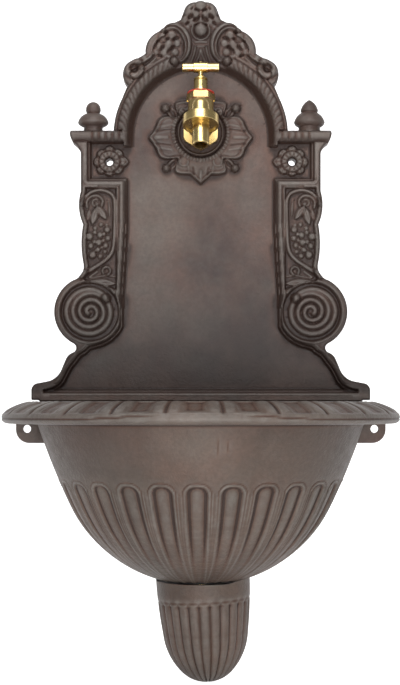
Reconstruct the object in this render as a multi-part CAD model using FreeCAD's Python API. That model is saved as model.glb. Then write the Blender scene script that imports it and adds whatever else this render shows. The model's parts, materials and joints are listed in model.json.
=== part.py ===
import FreeCAD, Part
import math
import os

from FreeCAD import Vector

# A cast iron wall fountain with a brass tap, in millimetres. X runs to the right, the wall is the plane
# Y = 0 and the front faces -Y. Sizes named _u are distances in front of the wall. While it is modelled,
# height 0 is the joint between plate and basin; save() then moves the datum up to the two wall screws.

# Fits
running = 0.05
snug = 0.05
wide_fit = 0.8

# Wall plate: levels in front of the wall
plate_skin = 6.0
field_u = 14.0
panel_u = 19.0
frame_u = 24.0
crest_u = 19.0

# Wall plate: outline
foot_seat_half = 171.0
foot_half = 180.5
foot_gap = 2.0
foot_edge_z = 12.0
foot_band_z = 9.0
waist_x = 134.6
waist_z = 57.0
volute_x = 118.2
volute_z = 96.0
volute_r = 38.0
neck_x = 124.9
neck_z = 147.0
pilaster_half = 127.7
pilaster_top_z = 236.0
cornice_z = 277.0
cornice_rise = 12.4
cornice_half = 139.5
arch_z = 283.5
arch_in_r = 70.6
arch_out_r = 93.1
rope_r = 6.8
rope_rise = 5.6
cove_rise = 6.0

# Wall plate: ornament
crest_rise = 51.6
crest_eye_r = 11.5
scroll_x = 32.6
scroll_up = 8.6
scroll_r = 18.2
scroll_rope_r = 3.2
boss_r = 7.5
spiral_start_r = 24.8
spiral_pitch = 7.0
spiral_half_turns = 6
spiral_bead_r = 2.2
volute_rim = 5.5
panel_in_x = 90.0
panel_border = 3.5
finial_x = 115.3
finial_rise = 33.0
rosette_petals = 8
rosette_petal_r = 5.8
rosette_r = 18.3
rosette_rise = 6.0

# Fixing to the wall
wall_screw_x = 97.6
wall_screw_z = 256.5
wall_screw_r = 4.0
screw_boss_r = 12.0

# Leaf rosette round the tap
tap_z = 288.5
leaf_z = 282.3
leaf_reach = 56.8
leaf_reach_up = 50.5
leaf_rise = 4.5
leaf_disc_r = 34.0
leaf_ball_r = 4.2
leaf_ball_reach = 48.9
leaf_ball_angle = 40.0
well_r = 22.5
well_wall = 6.0
well_rise = 9.0
well_floor_u = 18.0

# Basin
basin_centre_u = 20.0
basin_wall = 6.0
basin_back = 7.0
rim_r = 211.5
rim_drop = 22.3
lip_rise = 9.8
ridge_r = 179.0
ridge_land = 5.0
bowl_top_r = 173.5
belly_r = 139.0
belly_z = -108.5
bowl_foot_r = 46.0
bowl_depth = 188.0
ledge_u = 26.0
ledge_thick = 7.0
lug_half = 199.0
lug_hole_x = 187.0
lug_hole_drop = 29.0
lug_hole_r = 4.3
lug_thick = 6.0
lug_drop = 44.3
lug_corner = 14.5

# Screws that join plate and basin
plate_screw_x = 95.0
plate_screw_u = 15.0
plate_screw_r = 4.0
plate_screw_head_af = 13.0
plate_screw_head = 5.3
plate_screw_length = 16.0
plate_washer_r = 8.0
plate_washer = 1.6

# Console
console_shift = 2.3
console_lean = 2.9
console_gap = 0.6
console_r = 50.0
console_rise = 109.5
console_wall = 5.0
console_web = 5.0

# Waste
waste_u = 36.0
waste_thread_r = 16.6
waste_end_r = 16.4
waste_end = 22.0
waste_bore_r = 13.0
waste_length = 55.0
waste_flange_r = 25.0
waste_flange = 3.0
waste_seal = 2.0
waste_seal_r = 24.0
waste_washer = 2.0
waste_nut_af = 41.0
waste_nut = 10.0
grate_hole_r = 2.6
grate_ring_r = 8.2

# Tap: shank and body
shank_r = 13.2
supply_r = 13.0
supply_reach = 12.0
shank_bore_r = 7.0
shank_washer = 1.5
shank_washer_r = 18.0
shoulder_af = 36.0
shoulder = 8.5
backnut_af = 34.0
backnut = 6.0
backnut_washer = 1.4
backnut_washer_r = 21.0
chamber_u = 58.0
chamber_r = 13.4
body_top = 25.0
seat_t = 9.0
seat_hole_r = 6.0
chamber_bore_r = 11.0
spout_u = 85.4
spout_z = 302.0
spout_arm_z = 301.5
spout_r = 9.6
spout_arm_r = 9.4
spout_bore_r = 6.5
outlet_lean = 20.0
outlet_drop = 22.2
outlet_thread_r = 16.6

# Tap: headwork, measured along the bonnet's axis from the shank's axis
bonnet_lean = 10.0
bonnet_seal = 1.0
bonnet_thread_r = 12.0
bonnet_skirt_t = 17.0
bonnet_skirt_bore_r = 9.0
hexagon_af = 26.0
hexagon = 7.3
neck_foot_r = 9.0
neck_r = 7.2
neck_top_t = 47.6
red_ring_r = 14.3
red_ring = 1.2
gland_gap = 1.6
gland_r = 7.1
gland = 2.1
gland_boss = 2.4
gland_boss_r = 5.5
packing = 2.4
spindle_r = 2.6
spindle_thread_r = 5.4
spindle_thread_top_t = 34.0
spindle_tip_r = 2.3
jumper_r = 7.8
jumper = 2.0
jumper_stem_r = 2.8
jumper_stem = 12.0
jumper_stud_r = 1.5
valve_washer = 3.0
washer_nut_af = 6.0
washer_nut = 2.4
handle_t = 63.2
handle_bar_r = 4.7
handle_bar = 38.7
handle_hub_r = 5.65
handle_hub = 15.0
handle_screw_r = 1.25
handle_screw_head_r = 3.3
handle_screw_head = 0.9

# Tap: union, measured up the outlet's axis from the nut's mouth
union_r = 18.5
union_length = 10.4
union_recess = 2.0
union_web = 1.6
union_wall = 1.6
tail_r = 8.6
tail_collar_r = 9.3
tail_collar_t = -0.2
tail_bore_r = 6.2
tail_reach = 22.4
tail_flange_r = 15.6
tail_flange = 1.4
hose_seal = 1.0


# Helpers
def at(x, u, z):
    return Vector(x, -u, z)


def polar(x, z, radius, degrees):
    angle = math.radians(degrees)
    return x + radius * math.cos(angle), z + radius * math.sin(angle)


def edges_along(start, moves, put):
    # A move (a, b) is a straight run; (a, b, sag) is an arc that bulges by sag to the left of its way.
    edges = []
    a, b = start
    for move in moves:
        c, d = move[:2]
        if len(move) == 2:
            edges.append(Part.LineSegment(put(a, b), put(c, d)).toShape())
        else:
            length = math.hypot(c - a, d - b)
            mid_a = (a + c) / 2 - move[2] * (d - b) / length
            mid_b = (b + d) / 2 + move[2] * (c - a) / length
            edges.append(Part.Arc(put(a, b), put(mid_a, mid_b), put(c, d)).toShape())
        a, b = c, d
    if math.hypot(a - start[0], b - start[1]) > 1e-6:
        edges.append(Part.LineSegment(put(a, b), put(*start)).toShape())
    return edges


def face_of(start, moves, put):
    return Part.Face(Part.Wire(edges_along(start, moves, put)))


def slab(start, moves, from_u, to_u):
    face = face_of(start, moves, lambda x, z: at(x, from_u, z))
    return face.extrude(Vector(0, from_u - to_u, 0))


def turned(start, moves, angle=360):
    face = face_of(start, moves, lambda r, z: Vector(r, 0, z))
    return face.revolve(Vector(0, 0, 0), Vector(0, 0, 1), angle)


def tube(outer_r, inner_r, low, high):
    return turned((inner_r, low), [(outer_r, low), (outer_r, high), (inner_r, high)])


def rod(radius, low, high, x=0.0, y=0.0):
    return Part.makeCylinder(radius, high - low, Vector(x, y, low), Vector(0, 0, 1))


def peg(radius, x, z, from_u, to_u):
    return Part.makeCylinder(radius, to_u - from_u, at(x, from_u, z), Vector(0, -1, 0))


def hexagon_bar(across_flats, low, high, turn=0):
    corner_r = across_flats / math.sqrt(3)
    points = []
    for step in range(7):
        angle = math.radians(60 * step + turn)
        points.append(Vector(corner_r * math.cos(angle), corner_r * math.sin(angle), low))
    return Part.Face(Part.makePolygon(points)).extrude(Vector(0, 0, high - low))


def crowned(across_flats, low, high, turn=0):
    # A hexagon with its corners turned off at the upper end
    corner_r = across_flats / math.sqrt(3)
    bevel = corner_r - across_flats / 2
    cone = turned((0, low - 1), [(corner_r + 1, low - 1), (corner_r + 1, high - bevel),
                                 (across_flats / 2 - 1, high + bevel), (0, high + bevel)])
    return hexagon_bar(across_flats, low, high, turn).common(cone)


def both_sides(shape):
    return shape.fuse(shape.mirror(Vector(0, 0, 0), Vector(1, 0, 0))).removeSplitter()


def fused(shapes):
    whole = shapes[0]
    for shape in shapes[1:]:
        whole = whole.fuse(shape)
    return whole.removeSplitter()


def without(shape, holes):
    for hole in holes:
        shape = shape.cut(hole)
    return shape


def leaned(shape, degrees, x, u, z):
    # Tips an upright shape's top towards the wall and sets its origin at a point.
    turn = FreeCAD.Rotation(Vector(1, 0, 0), -degrees)
    shape.Placement = FreeCAD.Placement(at(x, u, z), turn)
    return shape


def along_wall_axis(shape, x, z):
    # Lays an upright shape down so that its +Z runs out of the wall.
    turn = FreeCAD.Rotation(Vector(1, 0, 0), 90)
    shape.Placement = FreeCAD.Placement(at(x, 0, z), turn)
    return shape


def save(name, shape):
    shape.translate(Vector(0, 0, -wall_screw_z))
    solids = shape.Solids
    kept = solids[0] if len(solids) == 1 else Part.makeCompound(solids)
    kept.exportStep("parts/" + name + ".step")


# Wall plate
def crest_base():
    return arch_z + arch_out_r


def plate_outline():
    # Right half of the silhouette, from the middle of the foot up to the top of the crest
    low_x, low_z = polar(volute_x, volute_z, volute_r, -63)
    high_x, high_z = polar(volute_x, volute_z, volute_r, 62)
    side_x, side_z = polar(volute_x, volute_z, volute_r, 0)
    cornice_top = cornice_z + cornice_rise
    arch_foot_x = math.sqrt(arch_out_r ** 2 - (cornice_top - arch_z) ** 2)
    arch_end_x, arch_end_z = polar(0, arch_z, arch_out_r, 25.6)
    arch_mid = polar(0, arch_z, arch_out_r, 14.6)
    eye_x, eye_z = crest_eye()
    top = crest_base()
    lower = [
        (foot_seat_half, 0),
        (foot_seat_half + foot_gap, foot_gap),
        (foot_half, foot_gap),
        (foot_half, foot_edge_z),
        (foot_half - 7.5, foot_edge_z + 8, -2.3),
        (foot_half - 19, foot_edge_z + 10.3),
        (waist_x + 13, waist_z - 20.5, 2.4),
        (waist_x + 9.7, waist_z - 12.7),
        (waist_x + 0.6, waist_z - 4, -1.6),
        (low_x, low_z, 2.6),
        (side_x, side_z, -bow_of(volute_r, 63)),
        (high_x, high_z, -bow_of(volute_r, 62)),
        (neck_x, neck_z, 4),
        (neck_x + 0.4, neck_z + 42, -2),
    ]
    upper = [
        (pilaster_half, pilaster_top_z - 11.5, -3.2),
        (pilaster_half, cornice_z - 12),
        (cornice_half - 3, cornice_z, 1.5),
        (cornice_half, cornice_z + 9, -0.5),
        (cornice_half - 0.5, cornice_top),
        (arch_foot_x, cornice_top),
        (arch_end_x, arch_end_z, chord_bow(arch_foot_x, cornice_top, arch_end_x, arch_end_z, arch_mid)),
        (eye_x + 6, eye_z - 12),
        (eye_x + 3.5, eye_z + 12.3, -6.4),
        (63.1, top - 7.5),
        (59, top - 4.8),
        (46.1, top + 18.2, -4.2),
        (40.1, top + 21.4),
        (29.6, top + 27.9, -1.5),
        (21.5, top + 31.7),
        (16.8, top + 43.9),
        (5, top + 50.4, -2.2),
        (0, top + crest_rise, -0.4),
    ]
    return lower, upper


def bow_of(radius, degrees):
    return radius * (1 - math.cos(math.radians(degrees / 2)))


def chord_bow(a, b, c, d, through):
    # Signed height over the chord of an arc that passes through a point near its middle
    length = math.hypot(c - a, d - b)
    return ((through[1] - b) * (c - a) - (through[0] - a) * (d - b)) / length


def crest_eye():
    return polar(0, arch_z, arch_out_r + 4.9, 42.7)


def field_outline(grow):
    # Right half of the sunk field's edge; grow 0 is its floor and 1 the top of its sloping side.
    inner_x = panel_in_x - 12.5
    low_x, low_z = polar(volute_x, volute_z, volute_r - 4.5 - 5 * (1 - grow), 238)
    mid_x, mid_z = polar(volute_x, volute_z, volute_r - 4.5 + 3 * (1 - grow), 205)
    return [
        (foot_half - 29 + 14 * grow, foot_band_z + 4.5 * (1 - grow)),
        (foot_half - 39 + 5 * grow, foot_edge_z + 15.4 - 2 * grow),
        (waist_x - 11 + 5 * grow, waist_z - 9.4 + 2 * grow, 3),
        (low_x + 4, low_z - 4),
        (mid_x, mid_z, 5),
        (inner_x + 3.2 + 4.3 * grow, volute_z + 16),
        (inner_x + 5 * grow, pilaster_top_z - 5),
        (inner_x + 5 * grow, pilaster_top_z + 2 - 2 * grow),
        (wall_screw_x + 20.5 + 2 * grow, pilaster_top_z + 2 - 2 * grow),
        (wall_screw_x + 20.5 + 2 * grow, cornice_z + 9),
        (0, cornice_z + 9),
    ]


def field_pocket():
    start = 0
    rings = []
    for grow, u in ((0, field_u), (1, frame_u + 0.01)):
        moves = field_outline(grow)
        first = (start, moves[0][1])
        rings.append(Part.Wire(edges_along(first, moves, lambda x, z, u=u: at(x, u, z))))
    return Part.makeLoft(rings, True, True)


def frame():
    # The raised border: foot, volutes and pilasters
    lower, upper = plate_outline()
    body = slab((0, 0), lower + upper[:2] + [(pilaster_half, cornice_z), (0, cornice_z)], field_u - 1, frame_u)
    body = body.cut(field_pocket())
    panel = slab((panel_in_x, neck_z - 8),
                 [(neck_x - panel_border - 1, neck_z + 2, 2),
                  (neck_x - panel_border, neck_z + 40, -2),
                  (pilaster_half - panel_border, pilaster_top_z - 12, -3),
                  (pilaster_half - panel_border, pilaster_top_z - 6),
                  (panel_in_x, pilaster_top_z - 6)], panel_u, frame_u + 1)
    well = peg(volute_r - volute_rim, volute_x, volute_z, panel_u, frame_u + 1)
    return body.cut(panel).cut(well)


def bead_arc(x, z, radius, from_deg, to_deg, bead_r, u):
    # A half-round bead that runs along an arc on the level u
    face = face_of((radius - bead_r, u - 1), [(radius + bead_r, u - 1), (radius + bead_r, u),
                                              (radius - bead_r, u, -bead_r)], lambda r, v: at(x + r, v, z))
    bead = face.revolve(at(x, 0, z), Vector(0, -1, 0), to_deg - from_deg)
    bead.rotate(at(x, 0, z), Vector(0, -1, 0), from_deg)
    return bead


def volute_spiral():
    # Half turns about two centres, each one a step smaller, make the scroll of the volute.
    turns = []
    radius = spiral_start_r
    x = volute_x
    side = -1
    for number in range(spiral_half_turns):
        from_deg = 0 if side < 0 else 180
        turns.append(bead_arc(x, volute_z, radius, from_deg, from_deg + 180, spiral_bead_r, panel_u))
        x -= side * spiral_pitch / 2
        radius -= spiral_pitch / 2
        side = -side
    turns.append(Part.makeSphere(spiral_bead_r * 1.3, at(x, panel_u, volute_z)))
    return fused(turns)


def arch_moulding():
    # Cove, rope and fillet round the arch, with short straight legs down to the cornice
    rope_low = arch_out_r - 3 - 2 * rope_r
    crown = field_u + cove_rise
    start = (arch_in_r, field_u - 1)
    moves = [(arch_out_r, field_u - 1), (arch_out_r, crown), (arch_out_r - 3, crown),
             (rope_low, crown, -rope_rise), (arch_in_r, field_u, 1.8)]
    face = face_of(start, moves, lambda r, u: at(r, u, arch_z))
    ring = face.revolve(at(0, 0, arch_z), Vector(0, -1, 0), 180)
    legs = both_sides(face.extrude(Vector(0, 0, cornice_z - arch_z)))
    return [ring, legs]


def cornice():
    top = cornice_z + cornice_rise
    bar_r = cornice_rise / 2
    block = slab((arch_in_r + 3.8, cornice_z), [(cornice_half - 3, cornice_z), (cornice_half, cornice_z + 9, -0.5),
                                                (cornice_half - 0.5, top), (arch_in_r + 3.8, top)],
                 field_u - 1, frame_u - 3)
    bar = Part.makeCylinder(bar_r, cornice_half - arch_in_r - 6, at(arch_in_r + 3.8, frame_u - 4, top - bar_r),
                            Vector(1, 0, 0))
    return both_sides(block.fuse(bar))


def finial(pointed):
    # Base, bell and knob; the right one ends in a bud, the left one in a ball.
    base = cornice_z + cornice_rise - 0.5
    knob_z = base + finial_rise - 8
    if pointed:
        foot_r = 11.8
        knob = [(8.5, knob_z - 3.6, -1.2), (9.3, knob_z - 0.8, -0.4), (0.6, knob_z + 10, -1.5), (0, knob_z + 10)]
    else:
        foot_r = 10.3
        knob = [(6.6, knob_z - 4.6, -1.8), (7.9, knob_z, -0.35), (1, knob_z + 7.8, -2), (0, knob_z + 7.8)]
    shape = turned((0, base), [
        (foot_r, base),
        (foot_r, base + 4.8),
        (16, base + 9.5, -0.5),
        (16.4, base + 11.2),
    ] + knob)
    shape.translate(at(finial_x + 1.2 if pointed else -finial_x, 10, 0))
    return shape.common(Part.makeBox(400, 60, 80, Vector(-200, -60, base - 10)))


def screw_rosette():
    hub = peg(rosette_r - rosette_petal_r, wall_screw_x, wall_screw_z, field_u - 1, field_u + rosette_rise)
    petals = [hub]
    for number in range(rosette_petals):
        x, z = polar(wall_screw_x, wall_screw_z, rosette_r - rosette_petal_r, 360 / rosette_petals * number)
        petals.append(peg(rosette_petal_r, x, z, field_u - 1, field_u + rosette_rise - 1))
    return both_sides(fused(petals))


def tap_rosette():
    # Four pointed leaves on a disc, with balls between them and a ringed well for the tap
    disc = peg(leaf_disc_r, 0, leaf_z, field_u - 1, field_u + leaf_rise - 1.5)
    ring = peg(well_r + well_wall, 0, tap_z, field_u - 1, field_u + well_rise)
    pieces = [disc, ring]
    for quarter in range(4):
        leaf = slab(*(leaf_upright() if quarter % 2 else leaf_level()), field_u - 1, field_u + leaf_rise)
        leaf.translate(Vector(0, 0, leaf_z))
        leaf.rotate(at(0, 0, leaf_z), Vector(0, -1, 0), 90 * quarter)
        pieces.append(leaf)
    for angle in (leaf_ball_angle, 180 - leaf_ball_angle, 180 + leaf_ball_angle, -leaf_ball_angle):
        x, z = polar(0, leaf_z, leaf_ball_reach, angle)
        near_x, near_z = polar(0, leaf_z, leaf_disc_r - 5, angle)
        ball = Part.makeSphere(leaf_ball_r, at(x, field_u + 1, z))
        stalk = Part.makeCylinder(2.2, leaf_ball_reach - leaf_disc_r + 5, at(near_x, field_u + 0.5, near_z),
                                  at(x - near_x, 0, z - near_z))
        pieces += [ball, stalk]
    return fused(pieces)


def leaf_level():
    # Outline of the left and right leaves, drawn along +X
    return (18, -21), [(leaf_reach - 18, -23.2), (leaf_reach - 11, -19.5, -1.2), (leaf_reach, 0, 1.6),
                       (leaf_reach - 11, 19.5, 1.6), (leaf_reach - 18, 23.2, -1.2), (18, 21)]


def leaf_upright():
    # Outline of the upper and lower leaves, with broad shoulders beside a narrow tip
    return (18, -22), [(leaf_reach_up - 16, -28), (leaf_reach_up - 10.3, -24, -1.6),
                       (leaf_reach_up - 10.3, -11.5, 0.6), (leaf_reach_up, 0, 0.8),
                       (leaf_reach_up - 10.3, 11.5, 0.8), (leaf_reach_up - 10.3, 24, 0.6),
                       (leaf_reach_up - 16, 28, -1.6), (18, 22)]


def crest():
    # The cresting above the arch: its ground, two C scrolls with ball ends, the boss and the two eyes
    lower, upper = plate_outline()
    top = crest_base()
    crest_moves = upper[6:]
    start = (upper[5][0] - 12, upper[5][1])
    ground = slab(start, [upper[5][:2]] + crest_moves + [(0, top - 8), (arch_out_r - 40, arch_z + 60)],
                  field_u - 1, crest_u)
    scroll_z = top + scroll_up
    scroll = bead_arc(scroll_x, scroll_z, scroll_r, 50, 245, scroll_rope_r, crest_u)
    end_x, end_z = polar(scroll_x, scroll_z, scroll_r, 245)
    ball = Part.makeSphere(scroll_rope_r + 1.3, at(end_x, crest_u, end_z))
    eye_x, eye_z = crest_eye()
    eye = bead_arc(eye_x, eye_z, crest_eye_r - 4.8, 0, 360, 3.7, crest_u)
    boss_z = top + 20.4
    boss = Part.makeSphere(boss_r, at(0, crest_u, boss_z))
    boss_ring = bead_arc(0, boss_z, boss_r + 3.2, 0, 360, 1.8, crest_u)
    cap = Part.makeSphere(19, at(0, crest_u - 9, top + 38)).common(
        slab((-17, top + 30), [(17, top + 30), (15.5, top + 43), (5, top + 49.5, -2), (-5, top + 49.5),
                               (-15.5, top + 43, -2)], field_u, frame_u + 8))
    return [both_sides(ground), both_sides(fused([scroll, ball])), both_sides(eye), boss, boss_ring, cap]


def back_hollows():
    # The casting is a shell: its back is hollow behind the field, the pilasters and the volutes.
    depth = field_u - plate_skin
    inner_x = panel_in_x - 19
    field = slab((0, foot_edge_z + 7), [
        (foot_half - 42, foot_edge_z + 7),
        (waist_x - 14, waist_z - 16),
        (inner_x + 4, waist_z + 4),
        (inner_x, volute_z + 40),
        (arch_in_r - 6, arch_z),
        (0, arch_z + arch_in_r - 6, -bow_of(arch_in_r - 6, 90)),
    ], -1, depth)
    pilaster = slab((panel_in_x, neck_z), [(neck_x - 8, neck_z), (neck_x - 8, pilaster_top_z - 10),
                                           (panel_in_x, pilaster_top_z - 10)], -1, panel_u - plate_skin)
    volute = peg(volute_r - 9, volute_x, volute_z, -1, panel_u - plate_skin)
    return [both_sides(field), both_sides(pilaster), both_sides(volute)]


def screw_hole_low():
    return -ledge_thick - plate_washer


def screw_hole_top():
    return screw_hole_low() + plate_screw_length + 1


def back_plate():
    lower, upper = plate_outline()
    body = both_sides(slab((0, 0), lower + upper, 0, field_u))
    body = without(body, back_hollows())
    added = [both_sides(frame()), cornice(), screw_rosette(), tap_rosette(), finial(False), finial(True)]
    added += [both_sides(volute_spiral())]
    added += arch_moulding()
    added += crest()
    added += [both_sides(peg(screw_boss_r, wall_screw_x, wall_screw_z, 0, field_u))]
    body = fused([body] + added)
    holes = [
        both_sides(peg(wall_screw_r, wall_screw_x, wall_screw_z, -1, frame_u + 1)),
        peg(shank_r + wide_fit, 0, tap_z, -1, frame_u + 1),
        peg(well_r, 0, tap_z, well_floor_u, frame_u + 10),
        both_sides(rod(plate_screw_r + snug, -1, screw_hole_top(), plate_screw_x, -plate_screw_u)),
    ]
    return without(body, holes)


# Basin
def round_front(start, moves, back_u):
    # Half a turn about the basin's upright axis, carried straight back to back_u
    face = face_of(start, moves, lambda r, z: at(r, basin_centre_u, z))
    half = face.revolve(at(0, basin_centre_u, 0), Vector(0, 0, -1), 180)
    straight = both_sides(face.extrude(Vector(0, basin_centre_u - back_u, 0)))
    return half.fuse(straight).removeSplitter()


def basin():
    inner_top_r = bowl_top_r - basin_wall
    outside = round_front((0, -bowl_depth), [
        (bowl_foot_r, -bowl_depth),
        (belly_r, belly_z, -13),
        (bowl_top_r, -rim_drop, -1.5),
        (rim_r - 10, -rim_drop),
        (rim_r, -rim_drop + 4.6, -2.2),
        (rim_r - 1.6, -rim_drop + lip_rise),
        (ridge_r, 0, -2),
        (0, 0),
    ], 0)
    inside = round_front((0, -bowl_depth + basin_wall), [
        (bowl_foot_r - 4, -bowl_depth + basin_wall),
        (belly_r - 5.6, belly_z - 2, -12.6),
        (inner_top_r, -rim_drop, -1.5),
        (ridge_r - ridge_land, -3, -1),
        (ridge_r - ridge_land, 1),
        (0, 1),
    ], basin_back)
    ledge_half = ridge_r - ridge_land + 1
    ledge = Part.makeBox(2 * ledge_half, ledge_u, ledge_thick, at(-ledge_half, ledge_u, -ledge_thick))
    lug = slab((bowl_top_r - 12, -rim_drop + 2), [
        (lug_half, -rim_drop + 2),
        (lug_half, -lug_drop + lug_corner),
        (lug_half - lug_corner, -lug_drop, -0.293 * lug_corner),
        (bowl_top_r - 12, -lug_drop),
    ], 0, lug_thick)
    body = outside.cut(inside)
    body = fused([body, ledge, both_sides(lug).cut(inside)])
    holes = [
        both_sides(peg(lug_hole_r, lug_hole_x, -lug_hole_drop, -1, lug_thick + 1)),
        both_sides(rod(plate_screw_r + 0.5, -ledge_thick - 1, 1, plate_screw_x, -plate_screw_u)),
        rod(waste_thread_r + wide_fit, -bowl_depth - 1, -bowl_depth + basin_wall + 1, 0, -waste_u),
    ]
    return without(body, holes)


def plate_screws():
    head_top = screw_hole_low()
    head = hexagon_bar(plate_screw_head_af, head_top - plate_screw_head, head_top)
    shank = rod(plate_screw_r, head_top, head_top + plate_screw_length)
    screw = head.fuse(shank)
    screw.translate(at(plate_screw_x, plate_screw_u, 0))
    return Part.makeCompound([screw, screw.mirror(Vector(0, 0, 0), Vector(1, 0, 0))])


def plate_screw_washers():
    ring = tube(plate_washer_r, plate_screw_r + 0.3, -ledge_thick - plate_washer, -ledge_thick)
    ring.translate(at(plate_screw_x, plate_screw_u, 0))
    return Part.makeCompound([ring, ring.mirror(Vector(0, 0, 0), Vector(1, 0, 0))])


# Console
def web_top():
    return -bowl_depth - waste_seal


def console_form(shrink, top_z):
    # The bullet-shaped half round, made smaller by shrink all over
    top = -bowl_depth - console_gap
    low = top - console_rise + shrink
    return round_front((0, top_z), [
        (0, low),
        (3, low),
        (console_r * 0.54 - shrink * 0.6, low + console_rise * 0.102, 2.5)[:2] + (-2.5,),
        (console_r * 0.912 - shrink, low + console_rise * 0.49 - shrink * 0.5, -4),
        (console_r - shrink, top, -0.9),
        (console_r - shrink, top_z),
    ], 0)


def lean_console(shape):
    pivot = at(0, 0, -bowl_depth)
    shape.rotate(pivot, Vector(0, 1, 0), -console_lean)
    shape.translate(Vector(console_shift, 0, 0))
    return shape


def console():
    top = -bowl_depth - console_gap
    outside = lean_console(console_form(0, top + 12))
    inside = lean_console(console_form(console_wall, top + 12))
    back = inside.copy()
    back.translate(Vector(0, 5, 0))
    inside = inside.fuse(back)
    above = Part.makeBox(200, 200, 40, Vector(-100, -150, top))
    web_zone = Part.makeBox(200, 200, console_web, Vector(-100, -150, web_top() - console_web))
    web = outside.common(web_zone)
    body = outside.cut(inside).fuse(web).removeSplitter()
    hole = rod(waste_thread_r + wide_fit, web_top() - console_web - 1, top + 1, 0, -waste_u)
    return body.cut(above).cut(hole)


# Waste
def waste_grate():
    flange_low = -bowl_depth + basin_wall + waste_seal
    flange_top = flange_low + waste_flange
    low = flange_top - waste_length
    body = turned((waste_bore_r, low), [
        (waste_end_r, low),
        (waste_end_r, low + waste_end),
        (waste_thread_r, low + waste_end),
        (waste_thread_r, flange_low),
        (waste_flange_r, flange_low),
        (waste_flange_r, flange_low + 1),
        (waste_flange_r - 3, flange_top, 0.6),
        (0, flange_top),
        (0, flange_low),
        (waste_bore_r, flange_low),
    ])
    holes = [rod(grate_hole_r, flange_low - 1, flange_top + 1)]
    for number in range(6):
        x, y = polar(0, 0, grate_ring_r, 60 * number)
        holes.append(rod(grate_hole_r, flange_low - 1, flange_top + 1, x, y))
    body = without(body, holes)
    body.translate(at(0, waste_u, 0))
    return body


def waste_ring(outer_r, low, high):
    ring = tube(outer_r, waste_thread_r + 0.3, low, high)
    ring.translate(at(0, waste_u, 0))
    return ring


def waste_backnut():
    high = web_top() - console_web - waste_washer
    nut = hexagon_bar(waste_nut_af, high - waste_nut, high)
    nut = nut.cut(rod(waste_thread_r + snug, high - waste_nut - 1, high + 1))
    nut.translate(at(0, waste_u, 0))
    return nut


# Tap
def on_bonnet(shape):
    return leaned(shape, bonnet_lean, 0, chamber_u, tap_z)


def outlet_point(up):
    lean = math.radians(outlet_lean)
    return 0, spout_u + (outlet_drop - up) * math.sin(lean), spout_z - (outlet_drop - up) * math.cos(lean)


def on_outlet(shape):
    return leaned(shape, outlet_lean, *outlet_point(0))


def shoulder_u():
    return well_floor_u + shank_washer


def boss_low():
    return union_recess + union_web + tail_flange + hose_seal


def tap_body():
    shoulder_back = shoulder_u()
    shank = along_wall_axis(rod(shank_r, 0, shoulder_back + 1), 0, tap_z)
    supply = along_wall_axis(rod(supply_r, -supply_reach, 1), 0, tap_z)
    hexagon_part = along_wall_axis(crowned(shoulder_af, shoulder_back, shoulder_back + shoulder, 30), 0, tap_z)
    inlet = along_wall_axis(rod(shank_r - 0.7, shoulder_back, chamber_u), 0, tap_z)
    chamber = on_bonnet(turned((0, -chamber_r - 2), [(chamber_r, -2, -bow_of(chamber_r, 90)),
                                                     (chamber_r, body_top), (0, body_top)]))
    arm = Part.makeCylinder(spout_arm_r, spout_u - chamber_u, at(0, chamber_u, spout_arm_z), Vector(0, -1, 0))
    corner = Part.makeSphere(spout_r, at(0, spout_u, spout_z))
    neck = on_outlet(rod(spout_r, union_length - 1, outlet_drop))
    boss = on_outlet(rod(outlet_thread_r, boss_low(), union_length))
    body = fused([shank, supply, hexagon_part, inlet, chamber, arm, corner, neck, boss])
    seat_z = tap_z + seat_t * math.cos(math.radians(bonnet_lean))
    bores = [
        along_wall_axis(rod(shank_bore_r, -supply_reach - 1, chamber_u + 2), 0, tap_z),
        on_bonnet(rod(seat_hole_r, 0, seat_t + 0.5)),
        on_bonnet(rod(chamber_bore_r, seat_t, body_top + 1)),
        on_bonnet(rod(bonnet_thread_r + snug, bonnet_skirt_t - 0.5, body_top + 1)),
        Part.makeCylinder(spout_bore_r, spout_u - chamber_u - 8, at(0, chamber_u + 8, seat_z + 3.5),
                          Vector(0, -1, 0)),
        Part.makeSphere(spout_bore_r + 0.5, at(0, spout_u, spout_z)),
        on_outlet(rod(spout_bore_r + 0.5, boss_low() - 1, outlet_drop)),
        on_outlet(rod(union_r, 0, boss_low())),
    ]
    return body.cut(bores[0]).cut(fused(bores[1:]))


def shank_ring(outer_r, from_u, to_u):
    return along_wall_axis(tube(outer_r, shank_r + 0.3, from_u, to_u), 0, tap_z)


def shank_backnut():
    high = field_u - plate_skin - backnut_washer
    nut = hexagon_bar(backnut_af, high - backnut, high, 30)
    return along_wall_axis(nut.cut(rod(shank_r + snug, high - backnut - 1, high + 1)), 0, tap_z)


def hexagon_t():
    return body_top + bonnet_seal


def bonnet():
    low = hexagon_t()
    high = low + hexagon
    thread_bore_r = spindle_thread_r + running
    packing_t = neck_top_t - gland_boss - packing
    body = fused([
        rod(bonnet_thread_r, bonnet_skirt_t, low + 1),
        crowned(hexagon_af, low, high),
        turned((0, low), [(neck_foot_r, low), (neck_foot_r, high + red_ring + 0.3), (neck_r, high + 6.5, 0.5),
                          (neck_r, neck_top_t), (0, neck_top_t)]),
    ])
    bore = turned((0, bonnet_skirt_t - 1), [
        (bonnet_skirt_bore_r, bonnet_skirt_t - 1),
        (bonnet_skirt_bore_r, low + 1),
        (thread_bore_r, low + 1),
        (thread_bore_r, packing_t),
        (gland_boss_r + snug, packing_t),
        (gland_boss_r + snug, neck_top_t + 1),
        (0, neck_top_t + 1),
    ])
    return on_bonnet(body.cut(bore))


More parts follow.
